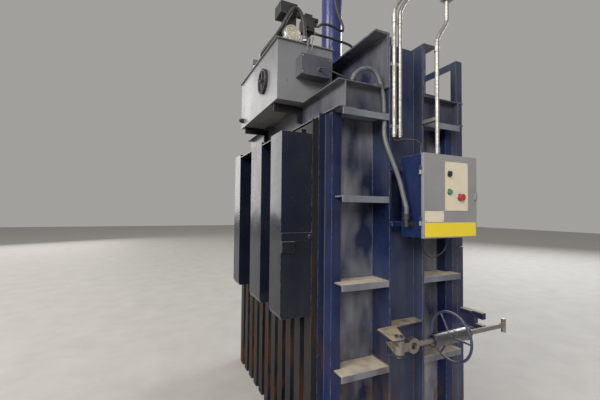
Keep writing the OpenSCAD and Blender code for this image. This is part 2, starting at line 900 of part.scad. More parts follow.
// Control box on two rails across the upright flanges.
module control_box() {
    color(navy_lit) {
        difference() {
            block([box_left, box_front, box_bottom], [box_left + box_width, box_back, box_top]);
            block(
                [box_left + 3, box_front - 1, box_bottom + 3],
                [box_left + box_width - 3, box_back - 3, box_top - 3]
            );
        }
        for (z = [box_bottom + 60, box_top - 85])
            block([-upright_half, box_back, z], [box_left + box_width - 20, -half_width, z + 25]);
        // Back panel that carries the contactors.
        block(
            [box_left + 30, box_back - 14, box_bottom + 30],
            [box_left + box_width - 30, box_back - 11, box_top - 30]
        );
        for (x = [box_left + 40, box_left + box_width - 60])
            for (z = [box_bottom + 50, box_top - 60])
                rod_y(x + 10, box_back - 11, box_back - 3, z, 10);
        block(
            [box_left + 60, box_back - 70, box_bottom + 260],
            [box_left + 200, box_back - 14, box_bottom + 360]
        );
        rod_z(box_left + 18, box_front + 22, box_top, box_top + 22, 22);
        // Fixed halves of the door hinges, with their pins.
        for (z = hinge_zs) {
            rod_z(door_pin_x, box_front, z + 24.5, z + 48, 14);
            block([door_pin_x, box_front, z + 24.5], [box_left, box_front + 7, z + 48]);
            rod_z(door_pin_x, box_front, z - 2, z + 25, 6);
        }
    }
}

// Door of the control box, carrying the cream operator plate and two bare plates.
door_y = box_front - 19;
plate_x = box_left + 163;
stem_d = 22;
running_fit = 0.16;
hinge_zs = [box_bottom + 70, box_top - 120];
door_pin_x = box_left - 10.5;
start_x = plate_x + 32;
start_z = box_bottom + 266;
stop_x = plate_x + 120;
stop_z = box_bottom + 236;
selector_x = plate_x + 32;
selector_z = box_bottom + 372;
module stem_holes() {
    for (hole = [[start_x, start_z], [stop_x, stop_z], [selector_x, selector_z]])
        rod_y(hole[0], door_y - 5, door_y + 5, hole[1], stem_d + running_fit);
}
module control_door() {
    right = box_left + box_width;
    color(grey_paint)
        difference() {
            union() {
                difference() {
                    block(
                        [box_left - 3, door_y, box_bottom - 3],
                        [right + 3, box_front - 0.5, box_top + 3]
                    );
                    block(
                        [box_left + 1, door_y + 3, box_bottom + 1],
                        [right - 1, box_front, box_top - 1]
                    );
                }
                block(
                    [right - 24, door_y - 14, box_bottom + 225],
                    [right - 8, door_y, box_bottom + 265]
                );
                for (z = hinge_zs)
                    difference() {
                        union() {
                            rod_z(door_pin_x, box_front, z, z + 24, 14);
                            block([door_pin_x, box_front - 7, z], [box_left - 2, box_front - 1, z + 24]);
                        }
                        rod_z(door_pin_x, box_front, z - 1, z + 25, 6 + running_fit);
                    }
            }
            stem_holes();
        }
    color(cream)
        difference() {
            block([plate_x, door_y - 2, box_bottom + 156], [plate_x + 190, door_y, box_bottom + 444]);
            stem_holes();
        }
    color([0.85, 0.75, 0.1])
        block([box_left + 4, door_y - 1.5, box_bottom + 4], [right - 8, door_y, box_bottom + 86]);
    color(cream)
        block(
            [box_left + 4, door_y - 1.5, box_bottom + 90],
            [box_left + 152, door_y, box_bottom + 152]
        );
}

// Push buttons and the key switch on the operator plate.
module start_button() {
    color([0.1, 0.5, 0.3]) {
        rod_y(start_x, door_y - 16, door_y - 8, start_z, 28);
        rod_y(start_x, door_y - 8, door_y + 20, start_z, stem_d);
    }
}
module stop_button() {
    color([0.7, 0.08, 0.06]) {
        rod_y(stop_x, door_y - 28, door_y - 16, stop_z, 40);
        rod_y(stop_x, door_y - 16, door_y + 20, stop_z, stem_d);
    }
}
module selector_switch() {
    color([0.1, 0.1, 0.11]) {
        rod_y(selector_x, door_y - 10, door_y - 2.5, selector_z, 30);
        rod_y(selector_x, door_y - 2.5, door_y + 20, selector_z, stem_d);
        block(
            [selector_x - 4, door_y - 22, selector_z - 14],
            [selector_x + 4, door_y - 10, selector_z + 14]
        );
    }
}

// Flexible conduit from the crosshead through the top stiffener down to the control box.
edge_y = -half_width;
flex_end = [box_left - 36, box_back - 78];
flex_points = [
    [-384, edge_y + 41, ring_top + 22], [-384, edge_y + 41, ring_top + 30],
    [-368, edge_y + 43, ring_top + 60], [-332, edge_y + 51, ring_top + 93],
    [-301, edge_y + 55, ring_top + 109], [-260, edge_y + 50, ring_top + 119],
    [-226, edge_y + 45, ring_top + 108], [-199, edge_y + 40, ring_top + 73],
    [-178, edge_y + 34, ring_top + 6], [-166, edge_y + 28, ring_top - 57],
    [stiffener_pass[0], stiffener_pass[1], ring_bottom + 24],
    [stiffener_pass[0], stiffener_pass[1], ring_bottom - 20],
    [-168, edge_y + 16, ring_bottom - 53], [-182, edge_y + 2, ring_bottom - 109],
    [-183, edge_y - 10, ring_bottom - 165], [-175, edge_y - 28, ring_bottom - 228],
    [-148, edge_y - 48, box_top - 55], [-124, edge_y - 67, box_top - 145],
    [-108, edge_y - 85, box_top - 245], [flex_end[0], flex_end[1] + 1, box_bottom + 170],
    [flex_end[0], flex_end[1], box_bottom + 144], [flex_end[0], flex_end[1], box_bottom + 136]
];
module flex_conduit() {
    color(hose_grey) swept_tube(fitted(flex_points, 2), flex_d, 10);
}

// Fittings of the flexible conduit: socket and elbow at the box, and a bulkhead nut.
module flex_fittings() {
    end = flex_points[len(flex_points) - 1];
    start = flex_points[0];
    color([0.25, 0.26, 0.29]) {
        rod_z(end[0], end[1], end[2] - 34, end[2], flex_d + 12);
        rod_z(end[0], end[1], end[2] - 76, end[2] - 34, flex_d + 2);
        rod_x(end[0], box_left, end[1], end[2] - 60, flex_d + 2);
        rod_x(box_left - 10, box_left, end[1], end[2] - 60, flex_d + 14);
        rod_z(start[0], start[1], ring_top, start[2], flex_d + 12);
    }
}

// Thin cables: motor leads, pump cable, and the cable from the conduits to the box.
tank_face = -tank_length / 2;
cable_runs = [
    [[jbox_x + 60, tank_face - 60, jbox_top + 18], [jbox_x + 60, tank_face - 60, jbox_top + 26],
        [jbox_x + 57, tank_face - 65, jbox_top + 62], [jbox_x + 72, tank_face - 52, lid_top + 8],
        [jbox_x + 94, tank_face - 30, lid_top + 30], [jbox_x + 106, tank_face - 6, lid_top + 32],
        [jbox_x + 110, tank_face + 10, lid_top + 8], [jbox_x + 110, tank_face + 10, lid_top]],
    [[jbox_x + 96, tank_face - 60, jbox_top + 18], [jbox_x + 96, tank_face - 60, jbox_top + 26],
        [jbox_x + 93, tank_face - 67, jbox_top + 64], [jbox_x + 107, tank_face - 54, lid_top + 16],
        [jbox_x + 122, tank_face - 31, lid_top + 40], [jbox_x + 130, tank_face - 8, lid_top + 38],
        [jbox_x + 134, tank_face + 10, lid_top + 8], [jbox_x + 134, tank_face + 10, lid_top]],
    [[jbox_x + 130, tank_face - 118, jbox_z + 44], [jbox_x + 130, tank_face - 126, jbox_z + 44],
        [jbox_x + 140, tank_face - 144, jbox_z + 41], [jbox_x + 190, tank_face - 168, jbox_z + 20],
        [jbox_x + 260, tank_face - 208, jbox_z - 20], [jbox_x + 340, tank_face - 240, jbox_z - 50],
        [-upright_half - upright_flange_t - 8, tank_face - 252, jbox_z - 60],
        [-upright_half - upright_flange_t, tank_face - 252, jbox_z - 60]],
    [[-upright_half + 21, conduit_y, 1997], [-upright_half + 21, conduit_y, 1989],
        [-108, conduit_y - 4, 1974], [-70, conduit_y - 20, 1984], [-18, conduit_y - 60, 1978],
        [-20, conduit_y - 108, 1950], [box_left + 23, box_front + 28, box_top + 51],
        [box_left + 18, box_front + 22, box_top + 30],
        [box_left + 18, box_front + 22, box_top + 22]],
    [[box_left + 100, box_back - 60, box_bottom], [box_left + 100, box_back - 60, box_bottom - 8],
        [box_left + 104, box_back - 58, box_bottom - 44],
        [box_left + 150, box_back - 44, box_bottom - 110],
        [box_left + 220, box_back - 36, box_bottom - 136],
        [box_left + box_width - 130, box_back - 44, box_bottom - 100],
        [box_left + box_width - 100, box_back - 60, box_bottom - 8],
        [box_left + box_width - 100, box_back - 60, box_bottom]]
];
module cables() {
    color(hose_black)
        for (run = cable_runs)
            swept_tube(fitted(run, 3), 9, 8);
}

// Latch bracket: a shelf in the upright with an arm out to the hinge pin.
pin_x = -209;
latch_y = -half_width - latch_reach;
pin_d = 30;
lug_top = latch_z + 54;
lug_low = latch_z - 31;
module latch_bracket() {
    inner = upright_half - upright_flange_t;
    color(navy_lit)
        difference() {
            union() {
                translate([0, 0, lug_top - plate_t])
                    linear_extrude(plate_t)
                        polygon([
                            [-inner, -web_face], [inner, -web_face], [inner, -half_width],
                            [-110, -half_width - 26], [pin_x + 30, latch_y - 14],
                            [pin_x + 4, latch_y - 34], [pin_x - 66, latch_y - 26],
                            [pin_x - 30, -half_width - 8], [-upright_half, -half_width],
                            [-inner, -half_width]
                        ]);
                // Lower lug and the pointed gusset under it.
                translate([0, 0, lug_low - 12])
                    linear_extrude(12)
                        polygon([
                            [-upright_half + 30, -half_width], [pin_x + 30, latch_y],
                            [pin_x + 18, latch_y - 28], [pin_x - 18, latch_y - 28],
                            [pin_x - 30, latch_y], [-upright_half - 30, -half_width]
                        ]);
                translate([-upright_half - 14, 0, 0])
                    rotate([90, 0, 90])
                        linear_extrude(12)
                            polygon([
                                [-half_width, lug_low - 12], [latch_y + 52, lug_low - 12],
                                [latch_y + 66, lug_low - 34], [-half_width, lug_low - 84]
                            ]);
                block(
                    [-upright_half - 30, -half_width - 12, lug_low - 84],
                    [-upright_half + 40, -half_width, lug_top]
                );
            }
            rod_z(pin_x, latch_y, lug_low - 20, lug_top + 1, pin_d + 0.1);
        }
}
module latch_pin() {
    color(bare_steel) {
        rod_z(pin_x, latch_y, lug_low - 22, lug_top, pin_d);
        rod_z(pin_x, latch_y, lug_top, lug_top + 9, pin_d + 18);
    }
}

// Latch link: boss on the pin, a cross eye, and the rod into the barrel.
eye_x = pin_x + 92;
module latch_link() {
    color(bare_steel)
        difference() {
            union() {
                rod_z(pin_x, latch_y, lug_low + 0.5, lug_top - plate_t - 0.5, 56);
                block([pin_x, latch_y - 16, latch_z - 24], [eye_x, latch_y + 16, latch_z + 24]);
                rod_y(eye_x, latch_y - 18, latch_y + 18, latch_z, 84);
                rod_x(eye_x + 30, 160, latch_y, latch_z, latch_rod_d);
            }
            rod_z(pin_x, latch_y, lug_low - 10, lug_top, pin_d + 0.1);
            rod_y(eye_x, latch_y - 21, latch_y + 21, latch_z, 38);
        }
}

// Barrel nut with its handwheel.
barrel_start = 37;
barrel_end = 330;
wheel_x = 186;
wheel_bar = 15;
module latch_wheel() {
    color(bare_steel)
        difference() {
            rod_x(barrel_start, barrel_end, latch_y, latch_z, 76);
            rod_x(barrel_start - 1, barrel_start + 60, latch_y, latch_z, 58);
            rod_x(barrel_start, barrel_end + 1, latch_y, latch_z, latch_rod_d + 0.2);
        }
    color(navy_lit)
        translate([wheel_x, latch_y, latch_z])
            rotate([0, 90, 0])
                difference() {
                    union() {
                        rotate_extrude($fn = 64)
                            translate([wheel_d / 2 - wheel_bar / 2, 0])
                                circle(d = wheel_bar, $fn = 20);
                        for (a = [30, 150, 270])
                            rotate([0, 0, a])
                                translate([36, 0, 0])
                                    rotate([0, 90, 0])
                                        cylinder(d = 12, h = wheel_d / 2 - 36 - wheel_bar / 2, $fn = 20);
                    }
                    cylinder(d = 75, h = 60, center = true);
                }
}

// Latch hook: threaded rod with a cross head that bears on the door fork.
head_reach = 874;
module latch_hook() {
    head = pin_x + head_reach;
    color(bare_steel) {
        rod_x(195, head + 10, latch_y, latch_z, latch_rod_d);
        rod_z(head + 14, latch_y, latch_z - 44, latch_z + 44, 28);
    }
}

// Bale door: tube frame with hinge knuckles and the fork that takes the latch.
door_back = rear_reach + door_gap;
door_front = door_back + door_t;
door_half = corner_front;
door_bottom = floor_height + 8;
hinge_x = door_front + 26;
hinge_y = door_half + 32;
hinge_heights = [260, 690, 1120];
module bale_door() {
    rail = 50;
    fork = -half_width - 78;
    color(navy_lit)
        difference() {
            union() {
                difference() {
                    block(
                        [door_back + plate_t, -door_half, door_bottom],
                        [door_front, door_half, door_top]
                    );
                    for (i = [0:3])
                        block(
                            [door_back, -door_half + rail,
                                door_bottom + rail + i * (door_top - door_bottom - rail) / 4],
                            [door_front + 1, door_half - rail,
                                door_bottom + (i + 1) * (door_top - door_bottom - rail) / 4]
                        );
                }
                // Fork plate that reaches out to take the latch rod.
                block(
                    [door_front - 20, fork, latch_z - 62],
                    [door_front + 12, -door_half, latch_z + 62]
                );
                block(
                    [door_front - 20, -door_half, latch_z - 62],
                    [door_front, -door_half + 40, latch_z + 62]
                );
                for (z = [latch_z - 62, latch_z + 50])
                    block([door_back + 20, fork + 70, z], [door_front - 20, -door_half, z + 12]);
                // Hinge knuckles.
                for (z = hinge_heights)
                    difference() {
                        union() {
                            block([door_front - 30, door_half, z], [hinge_x, hinge_y + 12, z + 60]);
                            rod_z(hinge_x, hinge_y, z, z + 60, 52);
                        }
                        rod_z(hinge_x, hinge_y, z - 1, z + 61, 28 + running_fit);
                    }
            }
            block(
                [door_front - 21, fork - 1, latch_z - 20],
                [door_front + 13, fork + 58, latch_z + 20]
            );
        }
}

// Door skin: plates with wire slots between them.
module door_panels() {
    color(navy)
        for (i = [0:6]) {
            left = i == 0 ? -door_half : wire_slots[i - 1] + wire_slot / 2;
            right = i == 6 ? door_half : wire_slots[i] - wire_slot / 2;
            block([door_back, left, door_bottom], [door_back + plate_t, right, door_top]);
        }
}

// Hinge pins with the lugs that hold them on the jamb.
module hinge_pins() {
    color(navy)
        for (z = hinge_heights) {
            rod_z(hinge_x, hinge_y, z - 34, z + 94, 28);
            for (low = [z - 32, z + 62])
                hull() {
                    rod_z(hinge_x, hinge_y, low, low + 30, 52);
                    block([rear_reach - 40, door_half, low], [rear_reach - 20, door_half + 12, low + 30]);
                }
        }
}

// Gate guides: two channels open to the inside, joined by a bar over the raised gate.
gate_bottom = door_top + 10;
gate_top = gate_bottom + gate_height;
guide_inner = wall_face + 30;
guide_top = gate_top + gate_lift + 60;
module gate_guides() {
    color(navy) {
        both_sides()
            difference() {
                block(
                    [rear_reach, -corner_front, door_top + 4],
                    [rear_reach + 60, -guide_inner, guide_top]
                );
                block(
                    [rear_reach + 8, -corner_front + 8, gate_bottom],
                    [rear_reach + 52, -guide_inner + 1, guide_top + 1]
                );
            }
        block([rear_reach, -guide_inner, guide_top - 50], [rear_reach + 8, guide_inner, guide_top]);
    }
}

// Feed gate: ribbed panel that slides up between the guides.
module feed_gate() {
    near = rear_reach + 8 + door_gap;
    far = rear_reach + 52 - door_gap;
    half = corner_front - 8 - door_gap;
    color(navy_lit) {
        difference() {
            block([near, -half, gate_bottom], [far, half, gate_top]);
            for (side = [-1, 1])
                block(
                    [near - 1, side > 0 ? 25 : -half + 50, gate_bottom + 50],
                    [near + 12, side > 0 ? half - 50 : -25, gate_top - 50]
                );
            for (side = [-1, 1])
                block(
                    [near + 16, side > 0 ? 25 : -half + 50, gate_bottom + 50],
                    [far + 1, side > 0 ? half - 50 : -25, gate_top - 50]
                );
        }
        for (y = [-220, 190]) {
            block([far, y, gate_bottom + 8], [far + 46, y + 12, gate_bottom + 40]);
            block([far, y + 30, gate_bottom + 8], [far + 46, y + 42, gate_bottom + 40]);
        }
        rod_y(far + 34, -214, 226, gate_bottom + 24, 20);
    }
}

base_frame();
floor_plates();
side_wall_left();
side_wall_right();
side_stiffeners();
upright_left();
upright_right();
corner_posts();
corner_bars();
front_jambs();
rear_wall();
rear_channels();
guard_box_near();
guard_box_middle();
guard_box_far();
guard_header();
guard_strap();
ring_ends();
ring_sides();
crosshead_rear();
crosshead_front();
cylinder_mount();
cylinder_barrel();
cylinder_cap();
piston_rod();
platen();
platen_shoes();
tank();
tank_lid();
tank_skid();
inspection_cover();
drain_plug();
motor();
fan_cover();
pump();
valve_block();
return_filter();
junction_box();
suction_hose();
pressure_hose();
return_hose();
conduits();
flex_conduit();
flex_fittings();
cables();
control_box();
control_door();
start_button();
stop_button();
selector_switch();
latch_bracket();
latch_pin();
latch_link();
latch_wheel();
latch_hook();
bale_door();
door_panels();
hinge_pins();
gate_guides();
feed_gate();
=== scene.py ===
"""Dressed model of a vertical recycling baler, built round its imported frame.

Every length is in metres and every piece is placed in the frame's own axes: +X is the
front with the bale door, -Y is the side with the control box and +Z is up.
"""
from __future__ import annotations

import logging
import math
from dataclasses import dataclass
from enum import Enum
from functools import cached_property
from typing import Callable, Iterable, Sequence

import bpy
import numpy as np
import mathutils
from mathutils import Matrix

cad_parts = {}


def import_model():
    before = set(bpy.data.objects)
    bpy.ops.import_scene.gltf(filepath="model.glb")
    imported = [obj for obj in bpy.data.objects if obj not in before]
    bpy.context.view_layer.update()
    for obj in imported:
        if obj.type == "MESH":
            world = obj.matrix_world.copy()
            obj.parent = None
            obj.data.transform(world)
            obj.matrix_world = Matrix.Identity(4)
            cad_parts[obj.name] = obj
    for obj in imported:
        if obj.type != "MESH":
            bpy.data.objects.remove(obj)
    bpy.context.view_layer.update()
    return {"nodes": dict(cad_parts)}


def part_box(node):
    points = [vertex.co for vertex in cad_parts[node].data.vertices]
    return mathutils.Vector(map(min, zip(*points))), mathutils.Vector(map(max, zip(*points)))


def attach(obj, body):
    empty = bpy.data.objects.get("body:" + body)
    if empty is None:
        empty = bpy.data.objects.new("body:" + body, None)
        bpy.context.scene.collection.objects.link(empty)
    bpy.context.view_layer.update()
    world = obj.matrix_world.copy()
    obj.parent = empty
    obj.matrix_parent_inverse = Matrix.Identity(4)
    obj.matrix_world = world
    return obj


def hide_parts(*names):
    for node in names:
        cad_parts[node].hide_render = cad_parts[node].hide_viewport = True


LOG = logging.getLogger("baler")
CREASE = math.radians(40)

Vector = tuple[float, float, float]
Colour = tuple[float, float, float]
Profile = Sequence[tuple[float, float]]
Stretch = tuple[Sequence[float], Sequence[Vector]]
Socket = bpy.types.NodeSocket
# Where a shape is turned that Mesh.placed() then copies to its spots.
ORIGIN: Vector = (0.0, 0.0, 0.0)


class Body(Enum):
    """Rigid bodies that carry new pieces, by their names in the frame."""

    FRAME = "frame"
    CONTROL_DOOR = "control_door"
    LATCH_ARM = "latch_arm"
    LATCH_WHEEL = "latch_wheel"
    LATCH_HOOK = "latch_hook"


class Axis(Enum):
    """Directions that a turned piece can point along."""

    FRONT = (1.0, 0.0, 0.0)
    BACK = (-1.0, 0.0, 0.0)
    NEAR = (0.0, -1.0, 0.0)
    UP = (0.0, 0.0, 1.0)


@dataclass
class Mesh:
    """Vertices and faces of one or more closed shells, with a soft or flat shade."""

    vertices: np.ndarray
    faces: list[tuple[int, ...]]
    smooth: bool = False

    def placed(self, spots: Sequence[Vector]) -> "Mesh":
        """Give one mesh with a copy of this one at each spot, every vertex moved by the spot."""
        places = np.asarray(spots, float)
        return joined([Mesh(self.vertices + spot, self.faces, self.smooth) for spot in places])


def joined(meshes: Sequence[Mesh]) -> Mesh:
    """Put several meshes into one, with each one's face numbers moved up."""
    starts = np.cumsum([0] + [len(m.vertices) for m in meshes])
    faces = [
        tuple(i + int(start) for i in face)
        for start, mesh in zip(starts, meshes) for face in mesh.faces
    ]
    return Mesh(np.concatenate([m.vertices for m in meshes]), faces, meshes[0].smooth)


def barrel_faces(rows: int, columns: int, hollow: bool = False) -> list[tuple[int, ...]]:
    """Give the faces of a closed shell of vertex rings.

    Args:
        rows: number of rings.
        columns: number of vertices in a ring.
        hollow: True where the last ring joins the first, as on a hoop.

    Returns:
        Quads (a, b, d, c), with b the next vertex of a's ring, and c and d those of the
        next ring. A shell that isn't hollow gets one flat face over each end.
    """
    i, k = np.meshgrid(np.arange(rows if hollow else rows - 1), np.arange(columns), indexing="ij")
    row, after, following = i * columns, (i + 1) % rows * columns, (k + 1) % columns
    quads = np.stack([row + k, row + following, after + following, after + k], -1).reshape(-1, 4)
    faces = [tuple(q) for q in quads.tolist()]
    if not hollow:
        last = (rows - 1) * columns
        faces += [tuple(range(columns - 1, -1, -1)), tuple(last + k for k in range(columns))]
    return faces


def around(count: int) -> np.ndarray:
    """Give equal angles round a circle: each number times two pi over the count."""
    return np.arange(count) * math.tau / count


def run_lengths(path: np.ndarray) -> np.ndarray:
    """Give the distance along a path at each of its points."""
    return np.concatenate([[0], np.cumsum(np.linalg.norm(np.diff(path, axis=0), axis=1))])


def basis(axis: Axis | Vector) -> tuple[np.ndarray, np.ndarray, np.ndarray]:
    """Give two side vectors and the unit axis, as a right-handed set."""
    along = np.asarray(axis.value if isinstance(axis, Axis) else axis, float)
    along = along / np.linalg.norm(along)
    helper = np.array([0.0, 0.0, 1.0]) if abs(along[2]) < 0.9 else np.array([1.0, 0.0, 0.0])
    side = np.cross(helper, along)
    side /= np.linalg.norm(side)
    return side, np.cross(along, side), along


def turned(profile: Profile, axis: Axis | Vector, origin: Vector, segments: int = 32, corners: int = 0,
           hollow: bool = False) -> Mesh:
    """Turn a profile about an axis.

    Args:
        profile: pairs of distance along the axis and radius, running forward on the outside.
        axis: direction of the turning axis.
        origin: point where the distance is zero.
        segments: number of vertices round each ring.
        corners: number of flat sides, such as 6 for a nut, or 0 for a round piece.
        hollow: True for a closed outline, with a hole through the middle.

    Returns:
        A closed shell. A ring point is origin + h axis + r (cos t side + sin t up), so
        on a flat-sided piece r is the distance to a corner.
    """
    side, up, along = basis(axis)
    angle = around(corners or segments)
    ring = np.cos(angle)[:, None] * side + np.sin(angle)[:, None] * up
    shape = np.asarray(profile, float)
    rings = np.asarray(origin, float) + shape[:, :1, None] * along + shape[:, 1:, None] * ring
    return Mesh(rings.reshape(-1, 3), barrel_faces(len(shape), len(angle), hollow), smooth=not corners)


def slab(low: Vector, high: Vector) -> Mesh:
    """Give a closed box between two corners, each vertex being a corner's mix of the two."""
    picks = np.array([[x, y, z] for z in (0, 1) for y in (0, 1) for x in (0, 1)])
    vertices = np.asarray(low) + picks * (np.asarray(high) - np.asarray(low))
    faces = [(0, 2, 3, 1), (4, 5, 7, 6), (0, 1, 5, 4), (2, 6, 7, 3), (0, 4, 6, 2), (1, 3, 7, 5)]
    return Mesh(vertices, faces)


def smooth_path(points: np.ndarray, steps: int) -> np.ndarray:
    """Run a smooth curve through chosen points.

    Args:
        points: the points that the curve passes through.
        steps: number of samples from each point to the next.

    Returns:
        Samples of the Catmull-Rom cubic, with the end points doubled.
    """
    knots = np.asarray([points[0], *points, points[-1]], float)
    p0, p1, p2, p3 = knots[:-3], knots[1:-2], knots[2:-1], knots[3:]
    t = (np.arange(steps) / steps)[:, None, None]
    samples = 0.5 * (2 * p1 + (p2 - p0) * t + (2 * p0 - 5 * p1 + 4 * p2 - p3) * t ** 2
                     + (3 * p1 - p0 - 3 * p2 + p3) * t ** 3)
    return np.concatenate([samples.transpose(1, 0, 2).reshape(-1, 3), knots[-1:]])


def evenly(path: np.ndarray, spacing: float) -> np.ndarray:
    """Resample a path at even steps of its own length."""
    lengths = run_lengths(path)
    count = max(int(round(lengths[-1] / spacing)), 2)
    wanted = np.linspace(0, lengths[-1], count + 1)
    return np.stack([np.interp(wanted, lengths, path[:, k]) for k in range(3)], -1)


def centre_line(stretches: Sequence[Stretch], steps: int, spacing: float) -> np.ndarray:
    """Run an even, smooth centre line through the points of a route.

    Args:
        stretches: pairs of an anchor point and the route's points as seen from it.
        steps: number of curve samples from each point to the next.
        spacing: distance between the points of the finished line.

    Returns:
        Points of the line, which runs through the sums of each anchor and its points.
    """
    points = np.concatenate([np.asarray(spots, float) + anchor for anchor, spots in stretches])
    return evenly(smooth_path(points, steps), spacing)


def carried_frames(path: np.ndarray) -> tuple[np.ndarray, np.ndarray]:
    """Give side and up vectors along a path that never twist about it.

    Each side vector is the one before with its part along the new heading removed.
    """
    heading = np.gradient(path, axis=0)
    heading /= np.linalg.norm(heading, axis=1)[:, None]
    side, _, _ = basis(tuple(heading[0]))
    sides = np.empty_like(path)
    for i, along in enumerate(heading):
        side = side - along * float(side @ along)
        side = side / np.linalg.norm(side)
        sides[i] = side
    return sides, np.cross(heading, sides)


def tube(path: np.ndarray, radius: float, sides: int = 12,
         ripple: Callable[[np.ndarray, np.ndarray], np.ndarray] | None = None) -> Mesh:
    """Carry a round section along a path.

    Args:
        path: points of the centre line.
        radius: radius of the section.
        sides: number of vertices round it.
        ripple: gives a factor for the radius from distance along and angle round.

    Returns:
        A closed tube. A point is path + r f(s, a) (cos a side + sin a up).
    """
    side, up = carried_frames(path)
    angle = around(sides)
    reach = np.full((len(path), sides), radius)
    if ripple is not None:
        reach = reach * ripple(run_lengths(path)[:, None], angle[None])
    offset = np.cos(angle)[:, None] * side[:, None] + np.sin(angle)[:, None] * up[:, None]
    vertices = (path[:, None] + reach[..., None] * offset).reshape(-1, 3)
    return Mesh(vertices, barrel_faces(len(path), sides), smooth=True)


def weld(start: Vector, end: Vector, radius: float = 0.004) -> Mesh:
    """Lay a weld bead from one point to another.

    The radius grows and shrinks with a short wave along the bead, as overlapping
    puddles do, and the centre line wanders a little with two longer waves.
    """
    step, sway, swell, puddle = 0.012, 0.0006, 0.22, 0.024
    a, b = np.asarray(start, float), np.asarray(end, float)
    length = float(np.linalg.norm(b - a))
    t = np.linspace(0, 1, max(int(length / step), 4))[:, None]
    side, up, _ = basis(tuple(b - a))
    wander = sway * (np.sin(t * length * 61) * side + np.sin(t * length * 43 + 1) * up)
    return tube(a + t * (b - a) + wander, radius, 6,
                lambda s, _: 1 + swell * np.sin(s * math.tau / puddle))


def hexagon_bolts(spots: Sequence[Vector], axis: Axis, across: float, height: float) -> Mesh:
    """Give bolt heads, each a chamfered hexagon on a washer with its base at its spot."""
    washer = turned([(0, across * 0.72), (0.002, across * 0.72), (0.0024, across * 0.7)], axis, ORIGIN, 20)
    half = across / 2 / math.cos(math.pi / 6)
    head = turned([(0.0022, half), (height * 0.86, half), (height, half * 0.84)], axis, ORIGIN, corners=6)
    return joined([washer, head]).placed(spots)


class Finish:
    """A surface finish that builds its own node material once."""

    name: str = "finish"

    @cached_property
    def material(self) -> bpy.types.Material:
        """Give the material, which is built the first time and kept."""
        made = bpy.data.materials.new(self.name)
        made.use_nodes = True
        self.build(NodeBench(made))
        return made

    def build(self, bench: "NodeBench") -> None:
        """Build the nodes; each finish has its own way."""
        raise NotImplementedError


